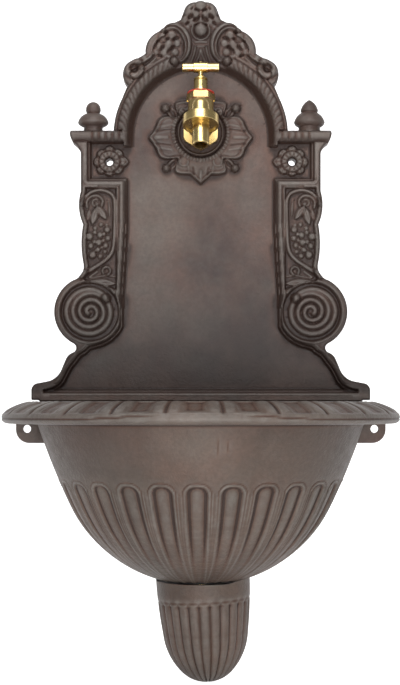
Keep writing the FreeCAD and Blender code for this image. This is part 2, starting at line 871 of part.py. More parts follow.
def gland_nut():
    # Its screwed boss shows as a groove between the neck and the disc.
    foot = neck_top_t - gland_boss
    low = neck_top_t + gland_gap
    high = low + gland
    disc = turned((0, foot), [
        (gland_boss_r, foot),
        (gland_boss_r, low),
        (gland_r, low),
        (gland_r, high - 0.6),
        (gland_r - 0.6, high),
        (0, high),
    ])
    return on_bonnet(disc.cut(rod(spindle_r + running, foot - 1, high + 1)))


def valve_levels():
    # Bottoms of the valve washer, the jumper's plate and the spindle when the tap is shut
    return seat_t, seat_t + valve_washer, seat_t + valve_washer + jumper


def jumper_valve():
    low, plate, spindle_end = valve_levels()
    return on_bonnet(turned((0, low - washer_nut - 1), [
        (jumper_stud_r, low - washer_nut - 1),
        (jumper_stud_r, plate),
        (jumper_r, plate),
        (jumper_r, spindle_end),
        (jumper_stem_r, spindle_end),
        (jumper_stem_r, spindle_end + jumper_stem),
        (0, spindle_end + jumper_stem),
    ]))


def spindle():
    low = valve_levels()[2] + 0.1
    bar_low = handle_t - handle_bar_r
    body = turned((0, low), [
        (spindle_thread_r, low),
        (spindle_thread_r, spindle_thread_top_t),
        (spindle_r, spindle_thread_top_t + 2),
        (spindle_r, bar_low),
        (spindle_tip_r, bar_low),
        (spindle_tip_r, handle_t + handle_bar_r - 0.5),
        (0, handle_t + handle_bar_r - 0.5),
    ])
    stem_hole = rod(jumper_stem_r + running, low - 1, low + jumper_stem + 1)
    screw_hole = rod(handle_screw_r + snug, handle_t - 3, handle_t + handle_bar_r + 1)
    return on_bonnet(body.cut(stem_hole).cut(screw_hole))


def cross_bar(radius, length):
    return Part.makeCylinder(radius, length, Vector(-length / 2, 0, handle_t), Vector(1, 0, 0))


def handle_bar_piece():
    bar = cross_bar(handle_bar_r, handle_bar)
    ends = [edge for edge in bar.Edges if edge.Closed]
    bar = bar.makeChamfer(0.6, ends)
    return on_bonnet(bar.cut(rod(spindle_tip_r + snug, handle_t - 10, handle_t + 10)))


def handle_hub_piece():
    hub = cross_bar(handle_hub_r, handle_hub)
    hub = hub.makeChamfer(0.4, [edge for edge in hub.Edges if edge.Closed])
    holes = [
        cross_bar(handle_bar_r + snug, handle_hub + 2),
        rod(spindle_r + snug, handle_t - 10, handle_t),
        rod(handle_screw_head_r + 0.2, handle_t, handle_t + 10),
    ]
    return on_bonnet(hub.cut(fused(holes)))


def handle_screw():
    seat = handle_t + handle_bar_r
    return on_bonnet(turned((0, handle_t - 2), [
        (handle_screw_r, handle_t - 2),
        (handle_screw_r, seat),
        (handle_screw_head_r, seat),
        (handle_screw_head_r, seat + handle_screw_head - 0.7),
        (handle_screw_head_r - 0.7, seat + handle_screw_head),
        (0, seat + handle_screw_head),
    ]))


def union_nut():
    thread = union_recess + union_web
    body = turned((tail_collar_r + 0.3, union_recess), [
        (union_r - union_wall, union_recess),
        (union_r - union_wall, 0),
        (union_r - 0.4, 0),
        (union_r, 0.4),
        (union_r, union_length - 1.2),
        (union_r - 1.2, union_length),
        (outlet_thread_r + snug, union_length),
        (outlet_thread_r + snug, thread),
        (tail_collar_r + 0.3, thread),
    ])
    return on_outlet(body)


def hose_tail():
    flange_low = union_recess + union_web
    return on_outlet(turned((tail_bore_r, -tail_reach), [
        (tail_r - 0.8, -tail_reach),
        (tail_r, -tail_reach + 1.2),
        (tail_r, tail_collar_t),
        (tail_collar_r, tail_collar_t),
        (tail_collar_r, flange_low),
        (tail_flange_r, flange_low),
        (tail_flange_r, flange_low + tail_flange),
        (tail_bore_r, flange_low + tail_flange),
    ]))


def main():
    os.makedirs("parts", exist_ok=True)
    floor_z = -bowl_depth + basin_wall
    web_low = web_top() - console_web
    seat, plate, spindle_end = valve_levels()
    packing_t = neck_top_t - gland_boss - packing
    flange_high = union_recess + union_web + tail_flange
    nut_washer_u = field_u - plate_skin
    save("back_plate", back_plate())
    save("basin", basin())
    save("console", console())
    save("plate_screws", plate_screws())
    save("plate_screw_washers", plate_screw_washers())
    save("waste_grate", waste_grate())
    save("waste_seal_top", waste_ring(waste_seal_r, floor_z, floor_z + waste_seal))
    save("waste_seal_bottom", waste_ring(waste_seal_r, -bowl_depth - waste_seal, -bowl_depth))
    save("waste_washer", waste_ring(waste_seal_r - 1, web_low - waste_washer, web_low))
    save("waste_backnut", waste_backnut())
    save("tap_body", tap_body())
    save("shank_washer", shank_ring(shank_washer_r, well_floor_u, shoulder_u()))
    save("shank_backnut", shank_backnut())
    save("backnut_washer", shank_ring(backnut_washer_r, nut_washer_u - backnut_washer, nut_washer_u))
    save("bonnet", bonnet())
    save("bonnet_seal", on_bonnet(tube(chamber_r - 0.2, bonnet_thread_r + 0.1, body_top, hexagon_t())))
    save("red_ring", on_bonnet(tube(red_ring_r, neck_foot_r + snug, hexagon_t() + hexagon,
                                    hexagon_t() + hexagon + red_ring)))
    save("gland_nut", gland_nut())
    save("gland_packing", on_bonnet(tube(gland_boss_r, spindle_r + running, packing_t, packing_t + packing)))
    save("spindle", spindle())
    save("jumper", jumper_valve())
    save("valve_washer", on_bonnet(tube(jumper_r, jumper_stud_r + snug, seat, plate)))
    washer_nut_piece = hexagon_bar(washer_nut_af, seat - washer_nut, seat)
    washer_nut_piece = washer_nut_piece.cut(rod(jumper_stud_r + snug, seat - washer_nut - 1, seat + 1))
    save("washer_nut", on_bonnet(washer_nut_piece))
    save("handle_hub", handle_hub_piece())
    save("handle_bar", handle_bar_piece())
    save("handle_screw", handle_screw())
    save("union_nut", union_nut())
    save("hose_tail", hose_tail())
    save("hose_seal", on_outlet(tube(tail_flange_r, tail_bore_r, flange_high, flange_high + hose_seal)))


main()
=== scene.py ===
import json
import math

import bpy
import numpy as np
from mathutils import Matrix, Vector


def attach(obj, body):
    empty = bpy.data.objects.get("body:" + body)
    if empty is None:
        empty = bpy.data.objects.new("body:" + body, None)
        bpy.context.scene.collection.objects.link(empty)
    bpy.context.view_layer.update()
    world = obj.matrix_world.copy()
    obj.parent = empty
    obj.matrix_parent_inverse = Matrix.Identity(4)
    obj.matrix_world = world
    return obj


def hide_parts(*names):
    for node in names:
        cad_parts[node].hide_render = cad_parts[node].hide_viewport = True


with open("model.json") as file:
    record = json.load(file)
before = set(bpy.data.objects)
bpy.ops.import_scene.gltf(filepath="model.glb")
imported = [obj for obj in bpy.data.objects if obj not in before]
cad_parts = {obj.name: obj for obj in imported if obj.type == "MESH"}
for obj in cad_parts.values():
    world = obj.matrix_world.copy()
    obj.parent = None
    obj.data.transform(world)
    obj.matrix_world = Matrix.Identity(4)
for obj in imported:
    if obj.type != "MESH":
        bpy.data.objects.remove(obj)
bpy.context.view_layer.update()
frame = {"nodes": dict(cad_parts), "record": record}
print("frame loaded")

# Shapes are worked out in millimetres: x to the right, u out from the wall, z up from the joint between
# plate and basin. The frame's origin lies between the two wall screws, this far above that joint.
datumZ = 256.5


def toFrame(x, u, z):
    return np.stack([x / 1000, -u / 1000, (z - datumZ) / 1000], axis=-1)


def arcTo(start, end, sag, count):
    # Points after start up to end on an arc that bulges by sag to the left of its way
    ax, az = start
    bx, bz = end
    length = math.hypot(bx - ax, bz - az)
    if abs(sag) < 0.02:
        return [(bx, bz)]
    radius = (length * length / 4 + sag * sag) / (2 * abs(sag))
    side = 1 if sag > 0 else -1
    midX, midZ = (ax + bx) / 2, (az + bz) / 2
    leftX, leftZ = -(bz - az) / length, (bx - ax) / length
    centreX = midX - side * (radius - abs(sag)) * leftX
    centreZ = midZ - side * (radius - abs(sag)) * leftZ
    first = math.atan2(az - centreZ, ax - centreX)
    last = math.atan2(bz - centreZ, bx - centreX)
    turn = (last - first + math.pi) % (2 * math.pi) - math.pi
    return [(centreX + radius * math.cos(first + turn * k / count),
             centreZ + radius * math.sin(first + turn * k / count)) for k in range(1, count + 1)]


def drawn(start, moves, count=12):
    # A line of straight runs (a, b) and arcs (a, b, sag)
    points = [start]
    for move in moves:
        sag = move[2] if len(move) > 2 else 0
        points += arcTo(points[-1], move[:2], sag, count)
    return points


def curveThrough(points):
    # A smooth curve through a few points
    p = np.array(points, float)
    p = np.vstack([2 * p[0] - p[1], p, 2 * p[-1] - p[-2]])
    out = []
    for a, b, c, d in zip(p, p[1:], p[2:], p[3:]):
        for t in np.arange(8) / 8:
            out.append(0.5 * (2 * b + (c - a) * t + (2 * a - 5 * b + 4 * c - d) * t * t
                              + (3 * b - a - 3 * c + d) * t ** 3))
    return [tuple(q) for q in out + [p[-2]]]


def polar(x, z, radius, degrees):
    return x + radius * math.cos(math.radians(degrees)), z + radius * math.sin(math.radians(degrees))


def arcOf(x, z, radius, fromDeg, toDeg, count=24):
    return [polar(x, z, radius, fromDeg + (toDeg - fromDeg) * k / count) for k in range(count + 1)]


def ease(t, width=1.0):
    # Climbs softly from 0 to 1 while t goes from 0 to width
    t = np.clip(t / width, 0, 1)
    return t * t * (3 - 2 * t)


def hump(distance, width=1.0):
    # 1 on a line or point, and 0 from width outwards
    return np.clip(1 - (distance / width) ** 2, 0, 1)


class Relief:
    # Heights in front of the wall over a regular net of points
    def __init__(self, x0, x1, z0, z1, step):
        self.x0, self.z0, self.step = x0, z0, step
        self.x, self.z = np.meshgrid(np.arange(x0, x1 + step / 2, step), np.arange(z0, z1 + step / 2, step))
        self.h = np.zeros_like(self.x)
        # a map of how far each point is darkened: soot and real tone, and also painted shade in hollows, on
        # steep flanks and at the outer edge
        self.sootAndShade = np.zeros_like(self.x)

    def stainAndShade(self, mask, share):
        self.sootAndShade = np.maximum(self.sootAndShade, mask * share)

    def window(self, points, reach):
        # The rows and columns that lie no further than reach from the points
        low, high = np.min(points, 0) - reach, np.max(points, 0) + reach
        slices = []
        for axis, start, count in ((1, self.z0, self.h.shape[0]), (0, self.x0, self.h.shape[1])):
            first, last = int((low[axis] - start) / self.step), int((high[axis] - start) / self.step) + 2
            slices.append(slice(min(max(first, 0), count), min(max(last, 0), count)))
        return tuple(slices)

    def around(self, x, z, reach):
        return self.window([(x, z)], reach)

    def alongLine(self, points, reach):
        # Distance to a line, and how far along it the nearest point lies, from 0 to 1
        p = np.array(points, float)
        win = self.window(p, reach)
        dist = np.full(self.x.shape, reach * 2.0)
        along = np.zeros(self.x.shape)
        lengths = np.hypot(*(p[1:] - p[:-1]).T)
        walked = np.concatenate([[0], np.cumsum(lengths)])
        for k in np.nonzero(lengths >= 1e-9)[0]:
            sub = self.window(p[k:k + 2], reach)
            (ax, az), (dx, dz) = p[k], p[k + 1] - p[k]
            gx, gz = self.x[sub] - ax, self.z[sub] - az
            t = np.clip((gx * dx + gz * dz) / lengths[k] ** 2, 0, 1)
            d = np.hypot(gx - t * dx, gz - t * dz)
            nearer = d < dist[sub]
            dist[sub] = np.where(nearer, d, dist[sub])
            along[sub] = np.where(nearer, walked[k] + t * lengths[k], along[sub])
        return win, dist[win], along[win] / max(walked[-1], 1e-9)

    def inside(self, points, reach=8.0):
        # Signed distance to a closed outline, positive inside and never more than reach
        closed = list(points) + [points[0]]
        dist = np.full(self.x.shape, reach)
        win, near, _ = self.alongLine(closed, reach)
        dist[win] = np.minimum(near, reach)
        within = np.zeros(self.x.shape, bool)
        for (ax, az), (bx, bz) in zip(closed[:-1], closed[1:]):
            if az == bz:
                continue
            rows = (self.z[:, 0] >= min(az, bz)) & (self.z[:, 0] < max(az, bz))
            cross = ax + (self.z[rows, 0] - az) / (bz - az) * (bx - ax)
            within[rows] ^= self.x[rows] < cross[:, None]
        return np.where(within, dist, -dist)

    def bead(self, points, width, rise, power=1.0, ends=None):
        # A rounded ridge, or a groove where rise is negative; ends scales its width at start, middle and end
        win, dist, along = self.alongLine(points, width * 1.1)
        wide = width * (np.interp(along, [0, 0.5, 1], ends) if ends else 1.0)
        self.h[win] += rise * hump(dist, np.maximum(wide, 0.05)) ** power

    def ball(self, x, z, radius, rise, power=0.6):
        win = self.around(x, z, radius)
        self.h[win] += rise * hump(np.hypot(self.x[win] - x, self.z[win] - z), radius) ** power

    def knob(self, x, z, radius, base, rise):
        # A ball that covers what lies under it
        win = self.around(x, z, radius)
        d = np.hypot(self.x[win] - x, self.z[win] - z) / radius
        top = base + rise * np.sqrt(hump(d))
        self.h[win] = np.where(d < 1, np.maximum(top, np.minimum(self.h[win], base + 0.6)), self.h[win])

    def petal(self, start, end, width, rise, vein=0.5, power=0.7):
        # A leaf from start to end, pointed at both ends, with a vein down its middle
        win, dist, along = self.alongLine([start, end], width)
        wide = width * np.sin(np.clip(along, 0.02, 0.98) * math.pi) ** 0.7
        body = hump(dist, wide)
        self.h[win] += rise * body ** power - vein * (body > 0.2) * hump(dist, 0.9)

    def level(self, mask, height):
        self.h += (height - self.h) * mask


def addToScene(name, data):
    obj = bpy.data.objects.new(name, data)
    bpy.context.scene.collection.objects.link(obj)
    return obj


def newPiece(name, points, faces, replaces=(), smooth=True):
    # All new pieces are parts of the iron castings, which never move
    mesh = bpy.data.meshes.new(name)
    mesh.from_pydata(points.tolist(), [], faces.tolist() if hasattr(faces, "tolist") else faces)
    mesh.validate()
    if smooth:
        mesh.polygons.foreach_set("use_smooth", np.ones(len(mesh.polygons), bool))
    mesh.update()
    obj = addToScene(name, mesh)
    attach(obj, "fountain")
    if replaces:
        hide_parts(*replaces)
    return obj


def squares(net):
    # The four corners of every square of a net, in their order round it
    return np.stack([net[:-1, :-1], net[:-1, 1:], net[1:, 1:], net[1:, :-1]], axis=-1)


def netPiece(name, x, u, z, replaces=(), flip=False):
    # A piece whose points lie in rows and columns
    faces = squares(np.arange(x.size).reshape(x.shape)).reshape(-1, 4)
    return newPiece(name, toFrame(x, u, z).reshape(-1, 3), faces[:, ::-1] if flip else faces, replaces)


class Shell:
    # Collects rings of points (x, u, z) and the faces between them
    def __init__(self):
        self.points, self.faces = [], []

    def ring(self, points):
        start = len(self.points)
        self.points.extend(points)
        return list(range(start, len(self.points)))

    def cap(self, ring, flip=False):
        self.faces.append(ring[::-1] if flip else ring)

    def join(self, first, second, flip=False, closed=True):
        for k in range(len(first) if closed else len(first) - 1):
            m = (k + 1) % len(first)
            quad = (first[k], first[m], second[m], second[k])
            self.faces.append(quad[::-1] if flip else quad)

    def piece(self, name, smooth=False):
        return newPiece(name, toFrame(*np.array(self.points).T), self.faces, smooth=smooth)


def readValues(items, name, width, kind=float):
    values = np.zeros(len(items) * width, kind)
    items.foreach_get(name, values)
    return values.reshape(-1, width)


def markRelief(obj, rounds, scale):
    # Keeps for each point how far it stands out of its surroundings (for wear) or lies in them (for rust and
    # painted shade)
    mesh = obj.data
    count = len(mesh.vertices)
    co, normals = (readValues(mesh.vertices, name, 3) for name in ("co", "normal"))
    a, b = readValues(mesh.edges, "vertices", 2, np.int64).T
    around = np.maximum(np.bincount(a, minlength=count) + np.bincount(b, minlength=count), 1)
    soft = co.copy()
    for turn in range(rounds):
        for axis in range(3):
            total = (np.bincount(a, soft[b, axis], count) + np.bincount(b, soft[a, axis], count)) / around
            soft[:, axis] = 0.5 * soft[:, axis] + 0.5 * total
    out = np.einsum("ij,ij->i", co - soft, normals) * 1000 / scale
    paint(obj, "relief", np.clip(out, -1, 1))


def paint(obj, name, values):
    layer = obj.data.attributes.new(name, "FLOAT", "POINT")
    layer.data.foreach_set("value", values.astype(np.float32))


plate = {
    "step": 0.75,          # mm between carved points
    "flat": 0.004,         # mm of height that still count as flat
    "fieldU": 14.0,        # how far the levels stand in front of the wall
    "panelU": 19.2,
    "frameU": 24.0,
    "crestU": 19.0,
    "edgeRound": 1.5,
    "archZ": 283.5,
    "archInR": 70.6,
    "archOutR": 93.1,
    "ropeMid": 83.6,
    "ropeR": 5.9,
    "ropeRise": 5.2,
    "ropeTwist": 6.4,      # length of one strand along the rope
    "volute": (118.2, 96.0, 38.0),     # x, z and radius
    "screw": (97.6, 256.5, 4.0),
    "tapZ": 288.5,
    "leafZ": 282.3,
    "wellR": 22.5,
    "shankHoleR": 14.0,
    # painted shade on the casting's side walls
    "wallShade": 0.4,
    "cutX": 62.0,          # where the front is cut into four pieces
    "cutZ": 291.0,
}


def plateOutline():
    # Right half of the silhouette, from the middle of the foot up to the top of the crest
    vx, vz, vr = plate["volute"]
    lowSide = polar(vx, vz, vr, -63)
    highSide = polar(vx, vz, vr, 62)
    bow = vr * (1 - math.cos(math.radians(31.5)))
    archEnd = polar(0, plate["archZ"], plate["archOutR"], 25.6)
    eyeX, eyeZ = 72, 350
    top = plate["archZ"] + plate["archOutR"]
    return drawn((0, 0), [(171, 0), (173, 2), (180.5, 2), (180.5, 12), (173, 20, -2.3), (161.5, 22.3),
            (147.6, 36.5, 2.4), (144.3, 44.3), (135.2, 53, -1.6), (*lowSide, 2.6), (vx + vr, vz, -bow),
            (*highSide, -bow + 0.2), (124.9, 147, 4), (125.3, 189, -2), (127.7, 224.5, -3.2), (127.7, 265),
            (136.5, 277, 1.5), (139.5, 286, -0.5), (139, 289.4), (93, 289.4), (*archEnd, -1.9),
            (eyeX + 6, eyeZ - 12), (eyeX + 3.5, eyeZ + 12.3, -6.4), (63.1, top - 7.5), (59, top - 4.8),
            (46.1, top + 18.2, -4.2), (40.1, top + 21.4), (29.6, top + 27.9, -1.5), (21.5, top + 31.7),
            (16.8, top + 43.9), (5, top + 50.4, -2.2), (0, top + 51.6, -0.4)], 10)


def fieldEdge():
    # Half way down the slope that leads from the raised border to the sunk field
    vx, vz, vr = plate["volute"]
    under = [polar(vx, vz, vr - 1, degrees) for degrees in (250, 241, 232, 223, 214, 205)]
    return drawn((-20, 11.2), [(166, 11.2), (154.5, 14.8, 0.6), (146.4, 22.4, 0.8), (141.8, 31.6),
            (135.4, 41, -0.4), (128.6, 50), (119.4, 57, 0.8), *under, (84.4, 112), (82, 150), (80, 190),
            (80, 237), (119.3, 237), (119.3, 290), (-20, 290)], 8)


def rimDistance(board, outline, reach):
    # How far each point of the right half lies inside the outline
    return board.inside([(-reach, 0)] + outline + [(-reach, outline[-1][1])], reach)


def carveBorder(board):
    x, z = board.x, board.z
    field = board.inside(fieldEdge(), 9)
    board.h[:] = plate["fieldU"]
    lower = ease(279 - z, 1.5)
    board.level(ease(0.5 - field / 5.2) * lower, plate["frameU"])
    # a rounded line on the border's inner edge and a groove beside it
    board.h += 0.9 * hump(field + 4.4, 1.5) * lower * (z < 241) * (z > 20)
    board.h -= 1.4 * hump(field + 7.2, 1.3) * lower * (z < 231) * (z > 60) * (x < 110)
    # the foot's border is darker and rounder than the rest
    foot = ease(64 - z, 8) * ease(z - 13, 4) * (x > 100) * ease(-field, 3)
    board.stainAndShade(foot, 0.42)
    board.h -= 1.2 * foot * ease(-field - 5, 6)
    # one thin line along the dark plinth
    board.h += 0.6 * hump(z - 7.6, 0.8) * (x < 160)
    board.stainAndShade(ease(15 - z, 3) * ease(np.abs(z - 7.6) - 0.4, 0.6), 0.14)


def carvePilaster(board, outline):
    edge = board.inside(outline, 9)
    panel = board.inside(drawn((88.6, 118), [(124, 128), (134, 150), (134, 229.5), (88.6, 229.5)]), 9)
    panel = np.minimum(panel, edge - 3.4)
    board.level(ease(panel, 2), plate["panelU"])
    board.stainAndShade(ease(panel, 3), 0.12)
    stem = curveThrough([(127, 133), (122.5, 137.6), (116.2, 141.4), (108, 146.6), (100.8, 151.8),
            (95.6, 158), (93.2, 165), (92.2, 178), (91.6, 209), (93.4, 219), (98.5, 223.6), (107.5, 225.6),
            (117, 223.4), (123.2, 217.4), (126.2, 210)])
    board.bead(stem, 2.5, 4.3, 0.8, (1.2, 0.88, 0.84))
    board.bead(stem, 0.7, -0.9)
    # curl and bud at the top, two petals and a bract below
    board.bead(curveThrough([(121.2, 207), (121.4, 213.6), (116.5, 219), (109.5, 219.6), (104.8, 214.8),
            (105.6, 209)]), 1.9, 3, 0.8)
    board.bead(arcOf(112, 212.4, 3.6, 200, 480), 1.3, 1.8)
    board.ball(111, 211, 2.2, 2.4)
    board.bead(curveThrough([(98.5, 214), (97.4, 206), (97.2, 198)]), 1.7, 1.9, 0.9, (0.4, 1, 0.5))
    board.petal((111, 209), (100.6, 194.6), 4.2, 3.6, 0.8)
    board.petal((111.4, 207), (115.8, 189), 4.6, 3.8, 0.8)
    board.petal((118.6, 205), (121, 193), 2.6, 2, 0.4)
    # bunch of grapes, no two alike
    for x, z, r in ((99.7, 183.4, 3.6), (106.3, 189, 2.6), (107.6, 177.8, 3.4), (112.6, 185.2, 2.5),
            (118.7, 176.2, 4.2), (99.1, 174.4, 3.2), (108.6, 169.9, 3.7), (101.4, 166.8, 3.1),
            (117.4, 166.2, 3.4), (109.8, 162.2, 3), (102.2, 160.2, 2.5), (115.4, 156.6, 4.3),
            (107, 155.4, 2.9), (103.4, 178.8, 2.2), (113.2, 180.6, 2.4), (104, 172.2, 2), (113.4, 170.6, 2.6),
            (113, 160.8, 1.9), (100.6, 188.6, 2), (105.6, 164.6, 1.8)):
        board.ball(x, z, r, r, 0.5)
    for x, z in ((99.9, 183.6), (118.9, 176.6), (115.6, 156.8)):
        board.ball(x, z, 1.3, -1, 1)
    # curl and leaf between the S ridge and the volute
    board.bead(arcOf(100.6, 139.6, 4.2, -40, 250), 1.9, 2.8)
    board.ball(100.4, 139.4, 2, 1.2)
    board.petal((90.2, 126), (118.8, 128.6), 4.6, 3.2, 0.9)
    board.bead(curveThrough([(91, 133.6), (103, 134.4), (117, 131.8)]), 1.1, 1.5)
    board.bead([(110.5, 139), (118.5, 133.2)], 1.9, 1.8)


def carveVolute(board):
    vx, vz, vr = plate["volute"]
    win = board.around(vx, vz, vr)
    r = np.hypot(board.x[win] - vx, board.z[win] - vz)
    well = ease(32 - r, 2)
    board.h[win] += (plate["panelU"] - board.h[win]) * well
    board.h[win] += 0.8 * hump(r - 33.4, 1.3)
    spiral = [polar(vx, vz, 22.6 + 0.019 * t, 140 - t) for t in range(0, 140, 8)]
    spiral += [polar(vx, vz, 25.2 - 7.1 * (t - 140) / 360, 140 - t) for t in range(140, 1270, 8)]
    board.bead(spiral, 3.6, 4, 0.6, (1, 1, 0.8))
    board.ball(*spiral[0], 5.4, 5)
    board.ball(vx - 0.4, vz + 0.6, 3.4, 1.6)


def carveArch(board):
    # Cove, twisted rope and outer fillet round the field
    x, z = board.x, board.z
    cz, inR, outR = plate["archZ"], plate["archInR"], plate["archOutR"]
    ropeR, ropeMid = plate["ropeR"], plate["ropeMid"]
    up = np.maximum(z - cz, 0)
    r = np.hypot(x, up)
    angle = np.degrees(np.arctan2(up, x))
    crown = plate["fieldU"] + 6
    above = (z > 277.5) | ((z > 272.8) & (x < 82))
    cove = plate["fieldU"] + 6 * ease(r - inR, 7.5) ** 1.6
    base = np.where(r < ropeMid, cove, crown)
    across = (r - ropeMid) / ropeR
    rope = plate["ropeRise"] * hump(across) ** 0.5
    run = np.radians(angle) * ropeMid + np.where(z < cz, z - cz, 0)
    strand = np.abs(np.sin(math.pi * (run - across * 3) / plate["ropeTwist"])) ** 0.7
    rope -= (1 - strand) * (1.3 + 0.5 * across) * hump(across) ** 0.3
    fillet = 0.9 * hump(r - outR + 1.6, 1.6)
    # painted shade: the cove between field and rope is darkened almost to black, and the whole arch band gets
    # darker towards its inner side
    board.stainAndShade(above * ease(r - inR + 0.4, 0.8) * ease(ropeMid - 3 - r, 4), 0.88)
    board.stainAndShade(above * ((r > inR) & (r < outR)) * (0.66 - 0.35 * across), 0.7)
    # between the two scrolls the arch carries no rope: the crest's ground comes down to the cove
    plain = ease(angle - 69, 2)
    shape = base + (rope + fillet) * (1 - plain) + (plate["crestU"] - crown) * plain * ease(r - 76, 2)
    ring = (r > inR) & (r < outR + 3) & above
    board.h = np.where(ring, shape, board.h)


def carveCornice(board):
    # Ribbed bar from the arch out to the end block, over the screw's recess
    x, z = board.x, board.z
    low, mid = 277, 283.2
    zone = (x > 76) & (z > low - 0.4) & (z < 289.9)
    across = hump(z - mid, 6.2)
    rib = np.abs(np.cos(math.pi * (x - 90.4) / 7.2)) ** 0.8
    ribbed = ease(x - 84, 3) * ease(119 - x, 2)
    shape = 20.2 + 5.2 * across ** 0.6 + 2.4 * (rib - 0.75) * ribbed * across ** 0.3
    # painted shade on the lower half of the bar, over a slight even darkening of the whole bar
    board.stainAndShade(zone * (0.6 * ease(mid + 1 - z, 5) + 0.2), 0.8)
    weight = ease(x - 76, 7) * zone * ease((z - low) / 1.2 + 0.6)
    board.h += (np.maximum(shape, board.h * (x < 84)) - board.h) * weight


def carveScrewRosette(board):
    sx, sz, _ = plate["screw"]
    win = board.around(sx, sz, 24)
    dx, dz = board.x[win] - sx, board.z[win] - sz
    r = np.hypot(dx, dz)
    deg = np.degrees(np.arctan2(dz, dx)) % 360
    reach = np.interp(deg, [0, 45, 90, 135, 180, 225, 270, 315, 360],
            [18, 17, 18, 18, 21.4, 17.4, 15.6, 17, 18])
    off = np.abs((deg + 22.5) % 45 - 22.5) / 22.5
    edge = reach * (1 - 0.15 * off ** 1.6)
    inside = (edge - r) / 2
    dome = 4.4 + 1.4 * hump(r - 10, 7)
    body = ease(inside) * dome
    # outer petals, each with an outline and a fold, then a ring of beads and the rim of the hole
    body -= 1.9 * hump(off - 1, 0.38) * ease(r - 10, 3) * ease(inside)
    body -= 1 * hump(r - edge * 0.84, 0.9) * ease(r - 10, 2)
    body -= 0.8 * hump(off, 0.20) * ease(r - 11, 2) * ease(inside)
    body -= 1.7 * hump(r - 11.6, 1.1)
    beads = np.abs(np.cos(np.radians(deg) * 6)) ** 0.7
    body += (2.2 * beads - 1) * hump(r - 8.2, 3) ** 0.5
    board.h[win] += np.maximum(body, 0)
    board.h[win] -= 2.5 * ease(5.6 - r, 1.6)
    # painted shade: the screw hole and its bevel are darkened almost to black
    board.sootAndShade[win] = np.maximum(board.sootAndShade[win], 0.95 * ease(5.6 - r))


def carveTapRosette(board):
    wellZ, wellR, cz = plate["tapZ"] - 1, plate["wellR"], plate["leafZ"]
    win = board.around(0, cz, 60)
    dx, dz = board.x[win], board.z[win] - cz
    r = np.hypot(dx, dz)
    deg = np.degrees(np.arctan2(np.abs(dz), np.abs(dx)))
    # how far the leaves reach, from the level axis (0) to the upright one (90)
    fine = np.arange(0, 91)
    spread = np.interp(fine, [0, 7, 15, 22, 27, 31, 35, 40, 45, 49, 53, 62, 68, 74, 80, 86, 90],
            [56.8, 52.2, 49.9, 50, 48.5, 45.5, 40, 35, 34, 42, 47.3, 45.3, 43.3, 41.8, 44.4, 47.5, 50.5])
    spread[2:-2] = np.convolve(spread, np.ones(5) / 5, "valid")
    inside = (np.interp(deg, fine, spread) - r) * 0.85
    off = np.minimum(deg, 90 - deg)
    side = off * np.radians(1) * r
    body = 4 * ease(inside, 2) + 1.6 * ease(inside, 11)
    folds = 0.7 * hump(inside - 1.9, 1.2) - 0.8 * hump(inside - 4.3, 1.3)
    folds += 1.3 * hump(side, 2.4) * ease(r - 33, 3) * ease(52 - r, 5)
    folds -= 1.2 * hump(side - 6.4 - 0.12 * (50 - r), 1.6) * ease(r - 31, 3) * ease(inside, 2)
    folds += 0.9 * hump(side - 10.5 - 0.2 * (50 - r), 1.8) * ease(r - 31, 3) * ease(inside, 3)
    body = np.maximum(body + folds * (inside > 0), 0)
    # short ribs and a raised ring round the tap's well
    well = np.hypot(dx, dz - (wellZ - cz))
    around = np.arctan2(dz - (wellZ - cz), dx)
    ribs = 2.3 * np.abs(np.cos(around * 26)) ** 0.8 * hump(well - 28.4, 3.8)
    ring = 5 * ease(26.2 - well, 2) + 1.4 * hump(well - 23.8, 1.3)
    carved = board.h[win] + np.maximum(body * ease(well - 25, 3) + ribs, ring)
    # painted shade inside the tap's well, almost black; the leaves get a light even darkening of their own
    board.sootAndShade[win] = np.where(well < wellR + 0.6, 0.93, np.where(inside > 0.6, 0.16, board.sootAndShade[win]))
    floor = 18
    board.h[win] = carved + (floor - carved) * ease(wellR + 0.6 - well, 1.2)
    for x, z, r0 in ((37.6, 313.8, 4.8), (36.8, 249.8, 4.3)):
        board.ball(x, z, r0, r0 + 1.6, 0.5)
        board.stainAndShade(ease(r0 + 0.6 - np.hypot(board.x - x, board.z - z)), 0.55)
    # stalks of the balls and the curls of the leaves beside them
    for points, width, rise in (
            ([(35.4, 310.6), (32.4, 306.2), (28.6, 304)], 2, 3),
            ([(30.6, 313.4), (27, 310.4), (26.2, 306.2)], 1.5, 1.8),
            ([(34.8, 253.2), (31.4, 257.2), (27.6, 259.4)], 2, 3),
            ([(30.4, 250.2), (27, 253.4), (25.8, 258)], 1.5, 1.8)):
        board.bead(curveThrough(points), width, rise)
    for z, start in ((256.2, 170), (308.6, -20)):
        board.bead(arcOf(18.2, z, 4.6, start, start + 210), 1.3, 1.5)


